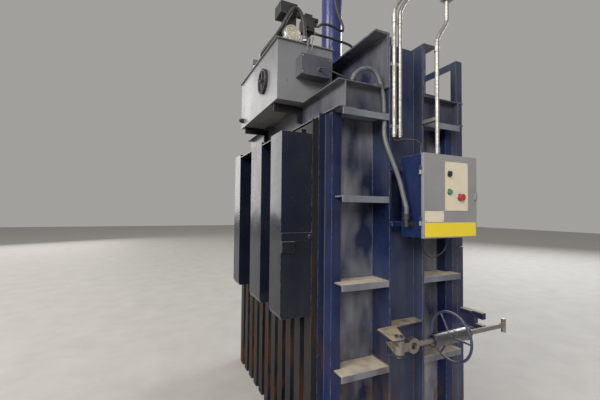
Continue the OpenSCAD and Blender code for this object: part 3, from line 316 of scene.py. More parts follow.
class NodeBench:
    """Short calls for the nodes that the finishes share."""

    def __init__(self, material: bpy.types.Material) -> None:
        """Take hold of a material's tree and its shader."""
        self.tree = material.node_tree
        self.shader = self.tree.nodes["Principled BSDF"]
        self.rounded: Socket | None = None
        self.object_place: Socket | None = None

    def node(self, kind: str, inputs: dict[str | int, object], **values: object) -> bpy.types.Node:
        """Add a node, set its own values, and set each input to a number or join it to a socket."""
        made = self.tree.nodes.new(kind)
        for key, value in values.items():
            setattr(made, key, value)
        for key, value in inputs.items():
            if isinstance(value, Socket):
                self.tree.links.new(value, made.inputs[key])
            else:
                made.inputs[key].default_value = value
        return made

    def feed(self, name: str, out: Socket) -> None:
        """Join a value to one of the shader's own sockets."""
        self.tree.links.new(out, self.shader.inputs[name])

    def coordinates(self, scale: Vector = (1, 1, 1)) -> Socket:
        """Give Object coordinates stretched by a scale for each axis."""
        if self.object_place is None:
            self.object_place = self.node("ShaderNodeTexCoord", {}).outputs["Object"]
        mapping = self.node("ShaderNodeMapping", {"Scale": scale, "Vector": self.object_place})
        return mapping.outputs["Vector"]

    def noise(self, size: float, detail: float = 4, stretch: Vector = (1, 1, 1),
              rough: float = 0.6) -> Socket:
        """Give noise with blotches of about 1 / size metres."""
        inputs = {"Scale": size, "Detail": detail, "Roughness": rough, "Vector": self.coordinates(stretch)}
        return self.node("ShaderNodeTexNoise", inputs).outputs["Fac"]

    def ramp(self, value: Socket, low: float, high: float, to_low: float = 0.0,
             to_high: float = 1.0) -> Socket:
        """Map a value from one range to another, held at both ends."""
        inputs = {"Value": value, "From Min": low, "From Max": high, "To Min": to_low, "To Max": to_high}
        return self.node("ShaderNodeMapRange", inputs).outputs["Result"]

    def math(self, kind: str, a: Socket, b: Socket | float) -> Socket:
        """Combine two values, held between 0 and 1."""
        return self.node("ShaderNodeMath", {0: a, 1: b}, operation=kind, use_clamp=True).outputs[0]

    def times(self, a: Socket, b: Socket) -> Socket:
        """Multiply two values."""
        return self.math("MULTIPLY", a, b)

    def mix(self, amount: Socket, a: Socket | Colour, b: Socket | Colour) -> Socket:
        """Mix two colours, each a socket or a plain colour."""
        a, b = ((*c, 1) if isinstance(c, tuple) else c for c in (a, b))
        return self.node("ShaderNodeMix", {0: amount, 6: a, 7: b}, data_type="RGBA").outputs[2]

    def edges(self, radius: float) -> Socket:
        """Give 1 near a sharp edge, from the true normal dotted with a rounded normal.

        The rounded normal is kept, so that a later bump also softens the edge.
        """
        self.rounded = self.node("ShaderNodeBevel", {"Radius": radius}, samples=4).outputs["Normal"]
        both = {0: self.rounded, 1: self.normal()}
        dot = self.node("ShaderNodeVectorMath", both, operation="DOT_PRODUCT")
        return self.ramp(dot.outputs["Value"], 0.995, 0.9)

    def normal(self) -> Socket:
        """Give the surface normal without any bump."""
        return self.node("ShaderNodeNewGeometry", {}).outputs["Normal"]

    def component(self, vector: Socket, axis: str) -> Socket:
        """Give one component of a vector."""
        return self.node("ShaderNodeSeparateXYZ", {0: vector}).outputs[axis]

    def upward(self) -> Socket:
        """Give 1 where the surface faces up, 0 on a wall and -1 where it faces down."""
        return self.component(self.normal(), "Z")

    def place(self, axis: str) -> Socket:
        """Give the place along one axis of the machine, such as the height above the floor."""
        return self.component(self.coordinates(), axis)

    def bump(self, value: Socket, strength: float, distance: float) -> None:
        """Put a relief on the shader's normal, over the one before it."""
        inputs = {"Strength": strength, "Distance": distance, "Height": value}
        if self.rounded is not None:
            inputs["Normal"] = self.rounded
        self.rounded = self.node("ShaderNodeBump", inputs).outputs["Normal"]
        self.feed("Normal", self.rounded)

    def set(self, **values: float) -> None:
        """Set numbers on the shader's own sockets, named with underscores for spaces."""
        for key, value in values.items():
            self.shader.inputs[key.replace("_", " ")].default_value = value


@dataclass(frozen=True)
class WornPaint(Finish):
    """Gloss paint with scuffed edges, dust on ledges, a streaked pale film of dust and painted sheen, and
    rust near the floor.
    """

    name: str = "worn_navy_paint"
    base: Colour = (0.006, 0.011, 0.036)
    faded: Colour = (0.014, 0.026, 0.085)
    worn: Colour = (0.27, 0.29, 0.33)
    dust: Colour = (0.36, 0.29, 0.2)
    rust: Colour = (0.075, 0.036, 0.018)
    # film is the colour of a pale layer that paints a sheen of reflected light, mixed with some dust;
    # dust_and_sheen sets how strongly it shows, and sheen_reach how far from the middle along X it runs.
    film: Colour = (0.13, 0.135, 0.145)
    rust_top: float = 0.9
    gloss: float = 0.24
    edge: float = 0.003
    dust_and_sheen: float = 0.3
    wear: float = 1.0
    dusty: float = 1.0
    shine: float = 0.34
    sheen_reach: float = 9.0

    def build(self, bench: NodeBench) -> None:
        """Layer the paint: fading, a streaked pale film of dust and painted sheen, rust, worn edges and
        ledge dust.
        """
        broad = bench.noise(1.7, 5)
        fine = bench.noise(34, 6, rough=0.7)
        streak = bench.noise(6, 5, (6, 6, 0.35), 0.65)
        colour = bench.mix(bench.ramp(broad, 0.38, 0.66), self.base, self.faded)
        # Painted sheen: streaks and clouds of the film colour stand for reflected light on the gloss
        # paint, with some dust, kept within sheen_reach of the middle along X.
        cloud = bench.ramp(bench.noise(2.6, 3, (1, 1, 0.6)), 0.36, 0.6)
        dust_and_sheen = bench.times(bench.ramp(streak, 0.3, 0.7, 0.6, 1.0), cloud)
        off_middle = bench.math("ABSOLUTE", bench.place("X"), 0.0)
        within = bench.ramp(off_middle, self.sheen_reach, self.sheen_reach + 0.01, 1, 0)
        dust_and_sheen = bench.times(bench.ramp(dust_and_sheen, 0, 1, 0, self.dust_and_sheen), within)
        colour = bench.mix(dust_and_sheen, colour, self.film)
        low = bench.ramp(bench.place("Z"), self.rust_top, 0.05)
        rust = bench.times(low, bench.ramp(bench.noise(9, 7, (1, 1, 0.3), 0.72), 0.5, 0.6))
        spots = bench.times(bench.ramp(bench.noise(58, 5), 0.66, 0.7), bench.ramp(broad, 0.45, 0.6))
        rust = bench.math("MAXIMUM", rust, spots)
        colour = bench.mix(rust, colour, self.rust)
        edges = bench.times(bench.edges(self.edge), bench.ramp(fine, 0.4, 0.6, 0, self.wear))
        colour = bench.mix(edges, colour, self.worn)
        grime = bench.ramp(bench.noise(11, 5), 0.34, 0.55, 0.45 * self.dusty, self.dusty)
        ledge = bench.times(bench.ramp(bench.upward(), 0.7, 0.95), grime)
        bench.feed("Base Color", bench.mix(ledge, colour, self.dust))
        rough = bench.ramp(bench.math("ADD", rust, ledge), 0, 1, self.gloss, 0.9)
        grain = bench.ramp(bench.math("ADD", fine, dust_and_sheen), 0.3, 1.1, 0, 0.18)
        bench.feed("Roughness", bench.math("ADD", rough, grain))
        bench.set(Specular_IOR_Level=self.shine)
        bench.bump(bench.noise(2.4, 2), 0.6, 0.014)
        bench.bump(bench.math("ADD", bench.noise(90, 3), rust), 0.12, 0.002)


@dataclass(frozen=True)
class Metal(Finish):
    """Bare or plated metal with brushed streaks and grime."""

    name: str = "worn_steel"
    base: Colour = (0.36, 0.33, 0.3)
    grime: Colour = (0.07, 0.05, 0.035)
    rough: float = 0.42
    grime_start: float = 0.52
    metallic: float = 1.0

    def build(self, bench: NodeBench) -> None:
        """Mix clean metal with grime, both in streaks."""
        streak = bench.noise(22, 6, (1, 1, 4), 0.7)
        grime = bench.ramp(bench.noise(13, 6, rough=0.7), self.grime_start, self.grime_start + 0.14)
        colour = bench.mix(bench.ramp(streak, 0.3, 0.7), self.base, tuple(c * 0.7 for c in self.base))
        colour = bench.mix(grime, colour, self.grime)
        bench.feed("Base Color", colour)
        bench.feed("Metallic", bench.ramp(grime, 0, 1, self.metallic, 0))
        bench.feed("Roughness", bench.ramp(streak, 0.25, 0.8, self.rough - 0.08, self.rough + 0.22))
        bench.bump(bench.noise(140, 3), 0.15, 0.001)


@dataclass(frozen=True)
class Moulding(Finish):
    """Plastic or rubber with a slight grain and a film of dust."""

    name: str = "black_hose"
    base: Colour = (0.018, 0.018, 0.02)
    film: Colour = (0.14, 0.13, 0.12)
    rough: float = 0.5
    film_amount: float = 0.5
    grain: float = 260.0

    def build(self, bench: NodeBench) -> None:
        """Mix the base with a dust film that gathers on top."""
        top = bench.ramp(bench.upward(), -0.2, 1, 0.1, 1)
        film = bench.times(top, bench.ramp(bench.noise(26, 5), 0.35, 0.7, 0, self.film_amount))
        bench.feed("Base Color", bench.mix(film, self.base, self.film))
        bench.feed("Roughness", bench.ramp(film, 0, 1, self.rough, 0.85))
        bench.bump(bench.noise(self.grain, 2), 0.1, 0.0006)


NAVY = WornPaint()
# On the side wall the pale film is a painted reflection: the grey sheen on the recessed middle panel, kept
# to that panel by sheen_reach.
WALL = WornPaint(
    "wall_paint_with_painted_sheen", (0.008, 0.012, 0.034), (0.02, 0.028, 0.06), film=(0.27, 0.275, 0.3), rust_top=1.0,
    gloss=0.2, dust_and_sheen=0.9, sheen_reach=0.494)
# On the crosshead and the ring the pale film paints the grey sheen of reflected light.
WEB = WornPaint(
    "web_paint_with_painted_sheen", (0.008, 0.012, 0.034), (0.022, 0.03, 0.06), film=(0.155, 0.156, 0.166),
    rust_top=0.6, gloss=0.2, dust_and_sheen=0.7)
CORNER = WornPaint(
    "corner_navy_paint", (0.005, 0.01, 0.04), (0.01, 0.024, 0.1), gloss=0.34, dust_and_sheen=0.15, shine=0.12)
# The pale grey base is a painted reflection, standing for the lit look of the stiffener lips on the navy
# wall; this film is darker than the base, so here the film layer lays dark blotches.
SHELF = WornPaint(
    "shelf_paint_with_painted_reflection", (0.15, 0.165, 0.2), (0.24, 0.25, 0.28), (0.36, 0.355, 0.34), (0.5, 0.43, 0.33),
    film=(0.04, 0.05, 0.08), rust_top=1.3, gloss=0.4, dust_and_sheen=0.6, edge=0.006)
# The near-black base paints the shade on the rear wall, the rear channels, the corner bars and the tank
# skid; the rust is the parts' own.
NAVY_REAR = WornPaint(
    "rear_paint_with_painted_shade", (0.004, 0.005, 0.008), (0.012, 0.013, 0.017), (0.16, 0.12, 0.08),
    rust=(0.06, 0.027, 0.012), film=(0.03, 0.03, 0.034), rust_top=1.7, gloss=0.34, dust_and_sheen=0.5, dusty=0.5,
    shine=0.12)
# The near-black base paints the shade and dark reflections on the faces of the guard boxes.
GUARD = WornPaint(
    "guard_paint_with_painted_shade", (0.003, 0.005, 0.012), (0.007, 0.01, 0.024), film=(0.024, 0.026, 0.034),
    rust_top=0.3, gloss=0.14, dust_and_sheen=0.4, wear=0.7, shine=0.26)
TANK_PAINT = WornPaint(
    "tank_grey_paint", (0.13, 0.135, 0.15), (0.2, 0.205, 0.225), (0.42, 0.43, 0.44),
    film=(0.2, 0.2, 0.21), rust_top=0.1, dust_and_sheen=0.5, dusty=0.5)
JUNCTION_PAINT = WornPaint(
    "junction_grey_paint", (0.05, 0.056, 0.078), (0.085, 0.092, 0.12), film=(0.12, 0.12, 0.13),
    rust_top=0.1, gloss=0.3, dust_and_sheen=0.4, dusty=0.6)
DARK_PAINT = WornPaint(
    "dark_grey_paint", (0.016, 0.017, 0.02), (0.035, 0.036, 0.042), rust_top=0.1, gloss=0.35, dusty=0.5)
BOX_PAINT = WornPaint(
    "cabinet_blue_paint", (0.008, 0.016, 0.062), (0.012, 0.022, 0.08), rust_top=0.1, dust_and_sheen=0.1, dusty=0.5)
# The grey base paints a reflection of pale surroundings on the face of the control box's door.
DOOR_PAINT = WornPaint(
    "door_paint_with_painted_reflection", (0.19, 0.198, 0.21), (0.26, 0.265, 0.275), (0.4, 0.4, 0.4),
    film=(0.34, 0.33, 0.3), rust_top=0.1, gloss=0.26)
BARREL_PAINT = WornPaint(
    "cylinder_blue_paint", (0.016, 0.024, 0.115), (0.035, 0.044, 0.15), rust_top=0.1, gloss=0.16,
    dust_and_sheen=0.1, dusty=0.6)
STEEL = Metal()
BARREL_STEEL = Metal("oiled_steel", (0.2, 0.2, 0.205), (0.05, 0.045, 0.04), 0.3, 0.56)
CHROME = Metal("ram_chrome", (0.72, 0.72, 0.74), (0.2, 0.18, 0.15), 0.16, 0.7)
CASTING = Metal("dark_casting", (0.05, 0.05, 0.055), (0.03, 0.024, 0.02), 0.5, 0.5, 0.6)
ZINC = Metal("zinc_plate", (0.34, 0.34, 0.35), (0.12, 0.1, 0.08), 0.42, 0.56)
PIPE = Metal("bright_conduit", (0.46, 0.45, 0.43), (0.2, 0.18, 0.15), 0.46, 0.56)
SILVER = Metal("silver_cover", (0.74, 0.73, 0.7), (0.3, 0.28, 0.24), 0.38, 0.6)
HOSE = Moulding()
SHEATH = Moulding("grey_sheath", (0.085, 0.09, 0.1), (0.3, 0.29, 0.27), 0.34, 0.7)
CREAM = Moulding("cream_paint", (0.62, 0.56, 0.44), (0.4, 0.35, 0.27), 0.45, 0.5, 120.0)
YELLOW = Moulding("yellow_plate", (0.72, 0.56, 0.02), (0.5, 0.42, 0.2), 0.4, 0.3, 120.0)
GREEN = Moulding("green_cap", (0.02, 0.22, 0.11), (0.3, 0.3, 0.28), 0.25, 0.2)
RED = Moulding("red_cap", (0.42, 0.02, 0.015), (0.3, 0.26, 0.24), 0.25, 0.2)
BLACK = Moulding("black_knob", (0.02, 0.02, 0.022), (0.2, 0.19, 0.18), 0.3, 0.3)
SHOE = Moulding("wear_shoe", (0.5, 0.49, 0.44), (0.3, 0.26, 0.2), 0.5, 0.5)

FINISH_NODES: tuple[tuple[Finish, str], ...] = (
    (WALL, "side_wall_left side_wall_right"),
    (SHELF, "side_stiffeners"),
    (WEB, "crosshead_rear ring_ends ring_sides"),
    (CORNER, "corner_posts"),
    (NAVY_REAR, "rear_wall rear_channels corner_bars tank_skid"),
    (GUARD, "guard_box_near guard_box_middle guard_box_far guard_header guard_strap"),
    (BARREL_PAINT, "cylinder_barrel cylinder_cap"),
    (CHROME, "piston_rod"),
    (SHOE, "platen_shoes"),
    (TANK_PAINT, "tank tank_lid"),
    (JUNCTION_PAINT, "junction_box"),
    (DARK_PAINT, "motor"),
    (SILVER, "fan_cover"),
    (CASTING, "inspection_cover drain_plug pump valve_block flex_fittings"),
    (ZINC, "return_filter"),
    (PIPE, "conduits"),
    (HOSE, "suction_hose pressure_hose return_hose cables"),
    (SHEATH, "flex_conduit"),
    (BOX_PAINT, "control_box"),
    (DOOR_PAINT, "control_door"),
    (GREEN, "start_button"),
    (RED, "stop_button"),
    (BLACK, "selector_switch"),
    (STEEL, "floor_plates latch_pin latch_link latch_hook"),
)


def shown(name: str, data: bpy.types.ID) -> bpy.types.Object:
    """Put an object with this data into the scene."""
    made = bpy.data.objects.new(name, data)
    bpy.context.scene.collection.objects.link(made)
    return made


def aimed(made: bpy.types.Object, *columns: np.ndarray | Vector) -> None:
    """Set an object's matrix from its own three axes and its place, each a column."""
    matrix = np.eye(4)
    matrix[:3] = np.stack(columns, -1)
    made.matrix_world = matrix.T.tolist()


def add_piece(name: str, mesh: Mesh, finish: Finish, replaces: Iterable[str] = (),
              body: Body = Body.FRAME) -> None:
    """Make an object from a mesh and hang it on its body, at the origin and unturned.

    Args:
        name: the piece's name.
        mesh: its shape, in the frame's own axes.
        finish: its surface.
        replaces: nodes of the frame that it stands in for.
        body: the rigid body that carries it.
    """
    data = bpy.data.meshes.new(name)
    data.from_pydata(mesh.vertices.tolist(), [], mesh.faces)
    if mesh.smooth:
        data.polygons.foreach_set("use_smooth", np.ones(len(data.polygons), bool))
        data.set_sharp_from_angle(angle=CREASE)
    data.materials.append(finish.material)
    piece = shown(name, data)
    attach(piece, body.value)
    if replaces:
        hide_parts(*replaces)
    LOG.info("%s: %d faces on %s", name, len(mesh.faces), body.value)


@dataclass
class Stage:
    """Floor, lamps, world and the camera at the photograph's place."""

    eye: Vector = (-1.4678, -2.5218, 1.5423)
    yaw: float = 24.8302
    pitch: float = 1.8423
    roll: float = -0.5947
    lens: float = 19.475
    floor_half: float = 30.0
    aim: Vector = (0.0, 0.0, 1.8)
    daylight: float = 0.42

    def camera(self) -> None:
        """Place the camera: forward from yaw and pitch, then rolled about it."""
        yaw, pitch, roll = (math.radians(v) for v in (self.yaw, self.pitch, self.roll))
        flat, rise = math.cos(pitch), math.sin(pitch)
        forward = np.array([math.sin(yaw) * flat, math.cos(yaw) * flat, rise])
        level = np.array([math.cos(yaw), -math.sin(yaw), 0.0])
        down = np.cross(forward, level)
        right = math.cos(roll) * level + math.sin(roll) * down
        down = -math.sin(roll) * level + math.cos(roll) * down
        data = bpy.data.cameras.new("camera")
        data.lens, data.sensor_width, data.clip_end = self.lens, 36, 200
        camera = shown("camera", data)
        aimed(camera, right, -down, -forward, self.eye)
        bpy.context.scene.camera = camera

    def floor(self) -> None:
        """Lay a pale floor under the machine."""
        half = self.floor_half
        data = bpy.data.meshes.new("floor")
        data.from_pydata([(-half, -half, 0), (half, -half, 0), (half, half, 0), (-half, half, 0)], [],
                         [(0, 1, 2, 3)])
        pale = bpy.data.materials.new("pale_floor")
        pale.use_nodes = True
        bench = NodeBench(pale)
        patches = bench.ramp(bench.noise(3, 4), 0.3, 0.7)
        bench.feed("Base Color", bench.mix(patches, (0.42, 0.405, 0.385), (0.48, 0.465, 0.44)))
        bench.set(Roughness=0.7)
        data.materials.append(pale)
        shown("floor", data)

    def lamp(self, name: str, spot: Vector, size: tuple[float, float], power: float,
             colour: Colour) -> None:
        """Hang one soft lamp that points at the middle of the machine."""
        data = bpy.data.lights.new(name, "AREA")
        data.shape, data.size, data.size_y, data.energy, data.color = "RECTANGLE", *size, power, colour
        lamp = shown(name, data)
        aimed(lamp, *basis(tuple(np.subtract(spot, self.aim))), spot)
        lamp.visible_camera = False

    def light(self) -> None:
        """Set the world and four soft lamps."""
        world = bpy.data.worlds.new("studio")
        world.use_nodes = True
        bpy.context.scene.world = world
        background = world.node_tree.nodes["Background"]
        background.inputs["Color"].default_value = (0.86, 0.84, 0.8, 1)
        background.inputs["Strength"].default_value = self.daylight
        self.lamp("rear_lamp", (-12.0, -2.8, 8.0), (6.0, 5.0), 1250, (1.0, 0.97, 0.92))
        self.lamp("side_lamp", (-8.2, -11.6, 7.4), (6.0, 5.0), 1400, (1.0, 0.97, 0.93))
        self.lamp("front_lamp", (12.0, 4.6, 7.8), (6.0, 5.0), 1100, (0.95, 0.97, 1.0))
        self.lamp("far_lamp", (-6.6, 14.0, 5.0), (9.0, 7.6), 520, (1.0, 0.98, 0.94))

    def build(self) -> None:
        """Set up the whole stage."""
        self.camera()
        self.floor()
        self.light()
        bpy.context.scene.view_settings.view_transform = "Standard"


def span(node: str) -> tuple[np.ndarray, np.ndarray]:
    """Give the lowest and the highest corner of a node of the frame."""
    low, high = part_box(node)
    return np.asarray(low, float), np.asarray(high, float)


def low_of(node: str) -> np.ndarray:
    """Give the lowest corner of a node of the frame."""
    return span(node)[0]


def high_of(node: str) -> np.ndarray:
    """Give the highest corner of a node of the frame."""
    return span(node)[1]


def mirrored(mesh: Mesh) -> Mesh:
    """Give a mesh together with its mirror image on the other side of the machine.

    The image has every y negated and each face turned round, so it still faces outward.
    """
    image = Mesh(mesh.vertices * [1, -1, 1], [face[::-1] for face in mesh.faces], mesh.smooth)
    return joined([mesh, image])


@dataclass(frozen=True)
class Plan:
    """Shared planes and heights, measured from the frame."""

    half_width: float
    wall: float
    upright: float
    post_inner: float
    floor: float
    ring_bottom: float
    ring_top: float
    crosshead_top: float
    channel_back: float
    lid_top: float
    motor: np.ndarray
    tank_corner: np.ndarray
    box_low: np.ndarray
    box_high: np.ndarray

    @classmethod
    def measured(cls) -> "Plan":
        """Read the planes off the frame's own nodes.

        The box's front corners come from its door, which stands out past them by its rim,
        laps back over the front, and has its hinge knuckles on the left.
        """
        knuckle, rim, lap, post = 0.0175, 0.003, 0.007, 0.064
        fan_low, fan_high = span("fan_cover")
        middle = (fan_low + fan_high) / 2
        door_low, door_high = span("control_door")
        return cls(
            half_width=-low_of("side_stiffeners")[1],
            wall=-low_of("side_wall_left")[1],
            upright=high_of("upright_left")[0],
            post_inner=high_of("corner_posts")[0] - post,
            floor=high_of("floor_plates")[2],
            ring_bottom=high_of("side_wall_left")[2],
            ring_top=high_of("ring_ends")[2],
            crosshead_top=high_of("crosshead_rear")[2],
            channel_back=low_of("rear_channels")[0],
            lid_top=high_of("tank_lid")[2],
            motor=np.array([middle[0], fan_high[1], middle[2]]),
            tank_corner=low_of("tank"),
            box_low=np.array([door_low[0] + knuckle, door_high[1] - lap, door_low[2] + rim]),
            box_high=door_high - (rim, lap, rim),
        )

    @property
    def levels(self) -> np.ndarray:
        """Heights of the four stiffener tops."""
        return np.linspace(self.floor, self.ring_bottom, 5)[1:]


@dataclass
class Assembly:
    """A sub-assembly that dresses one part of the machine."""

    plan: Plan

    def build(self) -> None:
        """Build and dress the pieces; each sub-assembly has its own way."""
        raise NotImplementedError


@dataclass
class Welds(Assembly):
    """Weld beads where plates and sections meet."""

    radius: float = 0.0042
    shelf: float = 0.008
    stitch: float = 0.045
    stitch_gap: float = 0.19

    def bead(self, *ends: Vector) -> Mesh:
        """Lay a bead of the usual size."""
        return weld(*ends, self.radius)

    def shelves(self) -> list[Mesh]:
        """Beads along the stiffeners, against the wall and against the upright."""
        beads, wall, edge = [], -self.plan.wall, 0.01 - self.plan.half_width
        for top in self.plan.levels:
            for side in (-1, 1):
                inner, outer = side * self.plan.upright, side * self.plan.post_inner
                for z in (top, top - self.shelf):
                    beads.append(self.bead((inner, wall, z), (outer, wall, z)))
                    beads.append(self.bead((inner, wall, z), (inner, edge, z)))
        return beads

    def columns(self) -> list[Mesh]:
        """Upright beads beside the main upright and the corner posts."""
        plan, wall, edge = self.plan, -self.plan.wall, -self.plan.half_width
        low, high = plan.ring_top + 0.01, plan.crosshead_top - 0.03
        beads = [self.bead((x, wall, 0.02), (x, wall, plan.ring_bottom - 0.01))
                 for x in (-plan.upright, plan.upright, -plan.post_inner, plan.post_inner)]
        return beads + [self.bead((x, edge, low), (x, edge, high)) for x in (-plan.upright, plan.upright)]

    def stitches(self) -> Mesh:
        """Short beads that hold the guard boxes to the rear channels."""
        beads, x = [], self.plan.channel_back
        for node in ("guard_box_near", "guard_box_middle", "guard_box_far"):
            low, high = span(node)
            for y in (low[1], high[1]):
                for z in np.arange(low[2] + 0.08, high[2] - 0.08, self.stitch_gap):
                    beads.append(weld((x, y, z), (x, y, z + self.stitch), 0.003))
        return joined(beads)

    def build(self) -> None:
        """Lay every bead."""
        add_piece("wall_welds", mirrored(joined(self.shelves() + self.columns())), NAVY)
        add_piece("guard_welds", self.stitches(), NAVY_REAR)


@dataclass
class FlexLine(Assembly):
    """Ribbed flexible conduit from the crosshead down to the control box."""

    radius: float = 0.014
    rib_pitch: float = 0.009
    rib_depth: float = 0.055

    def route(self) -> np.ndarray:
        """Repeat the frame's own route."""
        plan = self.plan
        edge, left, floor, roof = -plan.half_width, plan.box_low[0], plan.box_low[2], plan.box_high[2]
        return centre_line((
            ((0, edge, plan.ring_top), [
                (-0.384, 0.041, 0.022), (-0.384, 0.041, 0.03), (-0.368, 0.043, 0.06),
                (-0.332, 0.051, 0.093), (-0.301, 0.055, 0.109), (-0.26, 0.05, 0.119),
                (-0.226, 0.045, 0.108), (-0.199, 0.04, 0.073), (-0.178, 0.034, 0.006),
                (-0.166, 0.028, -0.057)]),
            ((0, edge, plan.ring_bottom), [
                (-0.162, 0.027, 0.024), (-0.162, 0.027, -0.02), (-0.168, 0.016, -0.053),
                (-0.182, 0.002, -0.109), (-0.183, -0.01, -0.165), (-0.175, -0.028, -0.228)]),
            ((0, edge, roof), [
                (-0.148, -0.048, -0.055), (-0.124, -0.067, -0.145), (-0.108, -0.085, -0.245)]),
            ((left, edge, floor), [
                (-0.036, -0.102, 0.17), (-0.036, -0.103, 0.144), (-0.036, -0.103, 0.136)]),
        ), 12, 0.0015)

    def ribs(self, distance: np.ndarray, _: np.ndarray) -> np.ndarray:
        """Give the radius factor 1 - d + d |sin(pi s / p)|, with p the pitch of the ribs."""
        return 1 - self.rib_depth + self.rib_depth * np.abs(np.sin(math.pi * distance / self.rib_pitch))

    def build(self) -> None:
        """Sweep the ribbed sheath in place of the plain one."""
        sheath = tube(self.route(), self.radius, 20, self.ribs)
        add_piece("flex_sheath", sheath, SHEATH, ["flex_conduit"])


@dataclass
class Cables(Assembly):
    """Thin cables of the power unit and the control box."""

    radius: float = 0.0045
    sides: int = 12

    def leads(self) -> list[Sequence[Stretch]]:
        """Repeat the frame's routes from the junction box up over the tank lid."""
        x, y = self.plan.tank_corner[0] + 0.137, self.plan.tank_corner[1]
        box, lid = (x, y, self.plan.ring_top + 0.299), (x, y, self.plan.lid_top)
        return [
            ((box, [(0.06, -0.06, 0.018), (0.06, -0.06, 0.026), (0.057, -0.065, 0.062)]),
             (lid, [
                 (0.072, -0.052, 0.008), (0.094, -0.03, 0.03), (0.106, -0.006, 0.032),
                 (0.11, 0.01, 0.008), (0.11, 0.01, 0)])),
            ((box, [(0.096, -0.06, 0.018), (0.096, -0.06, 0.026), (0.093, -0.067, 0.064)]),
             (lid, [
                 (0.107, -0.054, 0.016), (0.122, -0.031, 0.04), (0.13, -0.008, 0.038),
                 (0.134, 0.01, 0.008), (0.134, 0.01, 0)])),
        ]

    def feeds(self) -> list[Sequence[Stretch]]:
        """Repeat the frame's routes to the crosshead, into the control box and below it."""
        plan = self.plan
        x, y, z = plan.tank_corner[0] + 0.137, plan.tank_corner[1], plan.ring_top + 0.165
        left, front, floor = plan.box_low
        pipe, back = -plan.half_width - 0.018, -plan.half_width - 0.025
        return [
            (((x, y, z), [
                (0.13, -0.118, 0.044), (0.13, -0.126, 0.044), (0.14, -0.144, 0.041), (0.19, -0.168, 0.02),
                (0.26, -0.208, -0.02), (0.34, -0.24, -0.05)]),
             ((-plan.upright - 0.015, y, z), [(-0.008, -0.252, -0.06), (0, -0.252, -0.06)])),
            (((-plan.upright, pipe, 0), [(0.021, 0, 1.997), (0.021, 0, 1.989)]),
             ((0, pipe, 0), [
                 (-0.108, -0.004, 1.974), (-0.07, -0.02, 1.984), (-0.018, -0.06, 1.978),
                 (-0.02, -0.108, 1.95)]),
             ((left, front, plan.box_high[2]), [
                 (0.023, 0.028, 0.051), (0.018, 0.022, 0.03), (0.018, 0.022, 0.022)])),
            (((left, back, floor), [
                (0.1, -0.06, 0), (0.1, -0.06, -0.008), (0.104, -0.058, -0.044), (0.15, -0.044, -0.11),
                (0.22, -0.036, -0.136), (0.3, -0.044, -0.1), (0.33, -0.06, -0.008), (0.33, -0.06, 0)]),),
        ]

    def swept(self, routes: list[Sequence[Stretch]]) -> Mesh:
        """Sweep one tube along each route."""
        return joined([tube(centre_line(route, 10, 0.005), self.radius, self.sides) for route in routes])

    def build(self) -> None:
        """Add the leads and the feeds in place of the plain cables."""
        add_piece("motor_leads", self.swept(self.leads()), SHEATH, ["cables"])
        add_piece("box_cables", self.swept(self.feeds()), HOSE)


